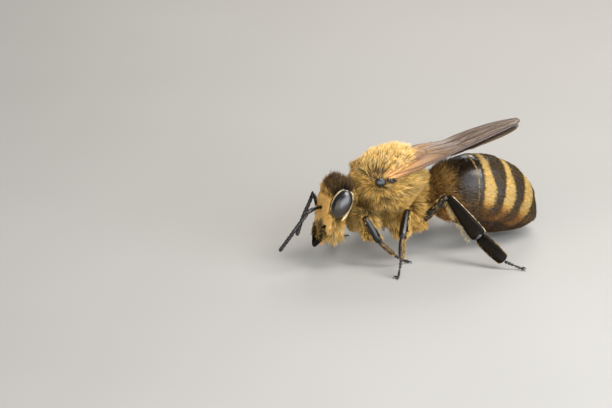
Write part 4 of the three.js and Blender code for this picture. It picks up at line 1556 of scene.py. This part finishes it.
ABDOMEN_COATS = {
    "first_ring": (300, 0.6, 0.38, 0.022, 3, lambda share, lower, above: 1 - step(share, 0.12, 0.24)),
    "felt_1": (950, 0.2, 0.1, 0.026, 2, band(0.3, 0.46)),
    "felt_2": (950, 0.2, 0.1, 0.026, 2, band(0.48, 0.62)),
    "felt_3": (950, 0.2, 0.1, 0.026, 2, band(0.63, 0.85)),
    "edge_row": (1400, 0.09, 0.08, 0.018, 2,
                 lambda share, lower, above: (share > 0.316) * (share < 0.322) * (1 - lower)),
    "down": (315, 0.2, 0.2, 0.0195, 2, down_kept),
}
for word, (per_mm2, long, stand, width, segments, kept) in ABDOMEN_COATS.items():
    places, normals = roots_on(plate_surface, per_mm2, lambda p: np.ones(len(p)))
    share = share_of(places)
    below = np.interp(share, LINE_SHARES, LINE_POINTS[:, 1]) - places[:, 2]
    lower = step(below, -0.3, 0.35)
    bare = saddle(places) if word == "down" else 0
    here = RANDOM.random(len(places)) < kept(share, lower, -below) * (1 - bare)
    places, normals = places[here], normals[here]
    lie = backward(places)
    middle = np.array([on_line(share)[:2] for share in share_of(places)])
    away = np.stack([places[:, 0] - middle[:, 0], places[:, 1], places[:, 2] - middle[:, 1]], axis=1)
    keep = (away * normals).sum(axis=1) > 0
    places, normals, lie = places[keep], normals[keep], lie[keep]
    warm, dark = markings_and_shade(places)
    if word == "down":
        warm, dark = warm + 0.05, dark * 0.9
    elif word != "first_ring":
        dark = dark * 0.35
    grow(f"coat_{word}", "fur", places, lying(normals, lie, stand), lying(normals, lie, stand * 0.4),
         np.full(len(places), long), unwrap_round(places, *ABDOMEN_WRAP), width=width,
         segments=segments, lock=0.2, every=10, tones=(warm, dark),
         even=0.55 if word.startswith(("felt", "edge")) else 0.0, bright=0.08)

# %% [markdown]
# ## Hairs of the legs
#
# The shins and first foot lengths carry fringes: long bent hairs beside the pollen
# basket, short stiff brushes elsewhere. Roots are set on the length's own section,
# by an angle round it, so that a fringe stays on its edge. The short hairs at the
# roots of the jaws are set in the same way.


# %% Hairs of the legs
def hairs_on(key, count, turns, shares=(0.05, 0.95)):
    """Roots on a length of leg between two angles round it, with their normals."""
    first, last, broad, thick, profile, hint = lengths[key]
    matrix = np.array(along_axes(first, last, hint))
    share = RANDOM.uniform(*shares, count)
    girth = np.interp(share, [row[0] for row in profile], [row[1] for row in profile]) * 0.9
    turn = RANDOM.uniform(math.radians(turns[0]), math.radians(turns[1]), count)
    local = np.stack([share * (last - first).length, broad * girth * np.cos(turn),
                      thick * girth * np.sin(turn)], axis=1)
    normal = unit(np.stack([np.zeros(count), np.cos(turn) / broad, np.sin(turn) / thick], axis=1))
    uv = unwrap_round(local, (0, 0, 0), ((last - first).length, 0, 0.01))
    return (local @ matrix[:3, :3].T + matrix[:3, 3], normal @ matrix[:3, :3].T,
            np.tile(matrix[:3, 0], (count, 1)), uv)


FRINGES = (
    ("hind", "tibia", 130, (158, 202), 0.5, 1.1, 0.013, 0.08),
    ("hind", "tibia", 460, (-11, 9), 0.18, 0.2, 0.024, -0.12),
    ("hind", "basitarsus", 240, (-25, 25), 0.13, 0.3, 0.015, 0.25),
    ("hind", "basitarsus", 180, (150, 210), 0.1, 0.3, 0.014, 0.3),
    ("hind", "femur", 170, (0, 360), 0.26, 0.3, 0.014, 0.3),
    ("mid", "femur", 240, (0, 360), 0.3, 0.4, 0.018, 0.3),
    ("mid", "tibia", 260, (-60, 60), 0.2, 0.35, 0.022, 0.25),
    ("mid", "basitarsus", 380, (-120, 120), 0.13, 0.3, 0.016, 0.25),
    ("fore", "femur", 300, (0, 360), 0.3, 0.4, 0.024, 0.3),
    ("fore", "tibia", 240, (-60, 60), 0.18, 0.35, 0.018, 0.2),
    ("fore", "basitarsus", 240, (-180, 180), 0.12, 0.25, 0.014, 0.3),
)
for number, (pair, part, count, turns, long, stand, width, warm) in enumerate(FRINGES):
    for hand in SIDES:
        places, normals, ahead, uv = hairs_on((hand, pair, part), count, turns)
        start = lying(normals, ahead, stand)
        grow(f"fringe_{hand}_{pair}_{part}_{number}", "fur", places, start,
             unit(lying(normals, ahead, stand * 0.3)), np.full(count, long), uv, width=width, lock=0.05,
             every=5, tones=(warm, 0.35 if (pair, part) == ("hind", "basitarsus") else 0.0),
             even=0.5 if warm < 0 else 0.0, bright=0.6)
for hand in SIDES:
    places, normals, ahead, uv = hairs_on((hand, "jaw", "outer"), 280, (0, 360), (0.0, 0.55))
    grow(f"fringe_{hand}_jaw", "fur", places, lying(normals, ahead, 0.3), lying(normals, ahead, 0.1),
         np.full(len(places), 0.24), uv, width=0.022, lock=0.1, every=5, tones=(0.3, 0.5))

# %% [markdown]
# ## Floor and light
#
# The floor is a plain pale sheet. The light is that of a bright open sky: a soft
# lamp high above gives the long pale highlights on the horn, a wide bluish panel on
# the near side gives the large soft ones on the eyes, a warm lamp from the front
# left fills the face, and a lamp from behind rims the coat.

# %% Floor
pick()
bpy.ops.mesh.primitive_plane_add(size=1.2)
floor = bpy.context.object
floor.name = "floor"
floor_material, floor_tree, floor_shader = new_material("pale_floor")
floor_tone = ramp(floor_tree, noise(floor_tree, 30), (0.3, (0.36, 0.345, 0.32)), (0.7, (0.39, 0.375, 0.35)))
link(floor_tree, floor_tone, floor_shader.inputs["Base Color"])
floor_shader.inputs["Roughness"].default_value = 0.9
floor.data.materials.append(floor_material)


# %% Lamps and sky
def lamp(name, place_at, power, size, colour, height=None):
    """A soft lamp that points at the bee: square, or `size` wide and `height` high."""
    bpy.ops.object.light_add(type="AREA", location=Vector(place_at) * MM)
    light = bpy.context.object
    light.name = name
    light.data.energy = power
    light.data.shape = "RECTANGLE"
    light.data.size = size * MM
    light.data.size_y = (height or size) * MM
    light.data.color = colour
    aim = Vector((0, 0, 3)) * MM - light.location
    light.rotation_euler = aim.to_track_quat("-Z", "Y").to_euler()


lamp("sky_panel", (34, -22, 84), 0.08, 40, (1.0, 0.98, 0.95), height=62)
lamp("side_panel", (22, -80, 36), 0.17, 150, (0.86, 0.92, 1.0), height=74)
lamp("warm_fill", (-80, -60, 34), 0.062, 110, (1.0, 0.91, 0.80))
lamp("rim", (50, 70, 60), 0.05, 40, (1.0, 0.97, 0.92))

world = bpy.data.worlds.new("sky")
bpy.context.scene.world = world
world.use_nodes = True
sky = world.node_tree
split = sky.nodes.new("ShaderNodeSeparateXYZ")
link(sky, sky.nodes.new("ShaderNodeTexCoord").outputs["Generated"], split.inputs["Vector"])
sky_tone = ramp(sky, split.outputs["Z"], (0.0, (0.62, 0.60, 0.57)), (0.35, (0.55, 0.58, 0.62)),
                (1.0, (0.8, 0.87, 1.0)))
link(sky, sky_tone, sky.nodes["Background"].inputs["Color"])
sky.nodes["Background"].inputs["Strength"].default_value = 0.22
bpy.context.scene.view_settings.view_transform = "Standard"
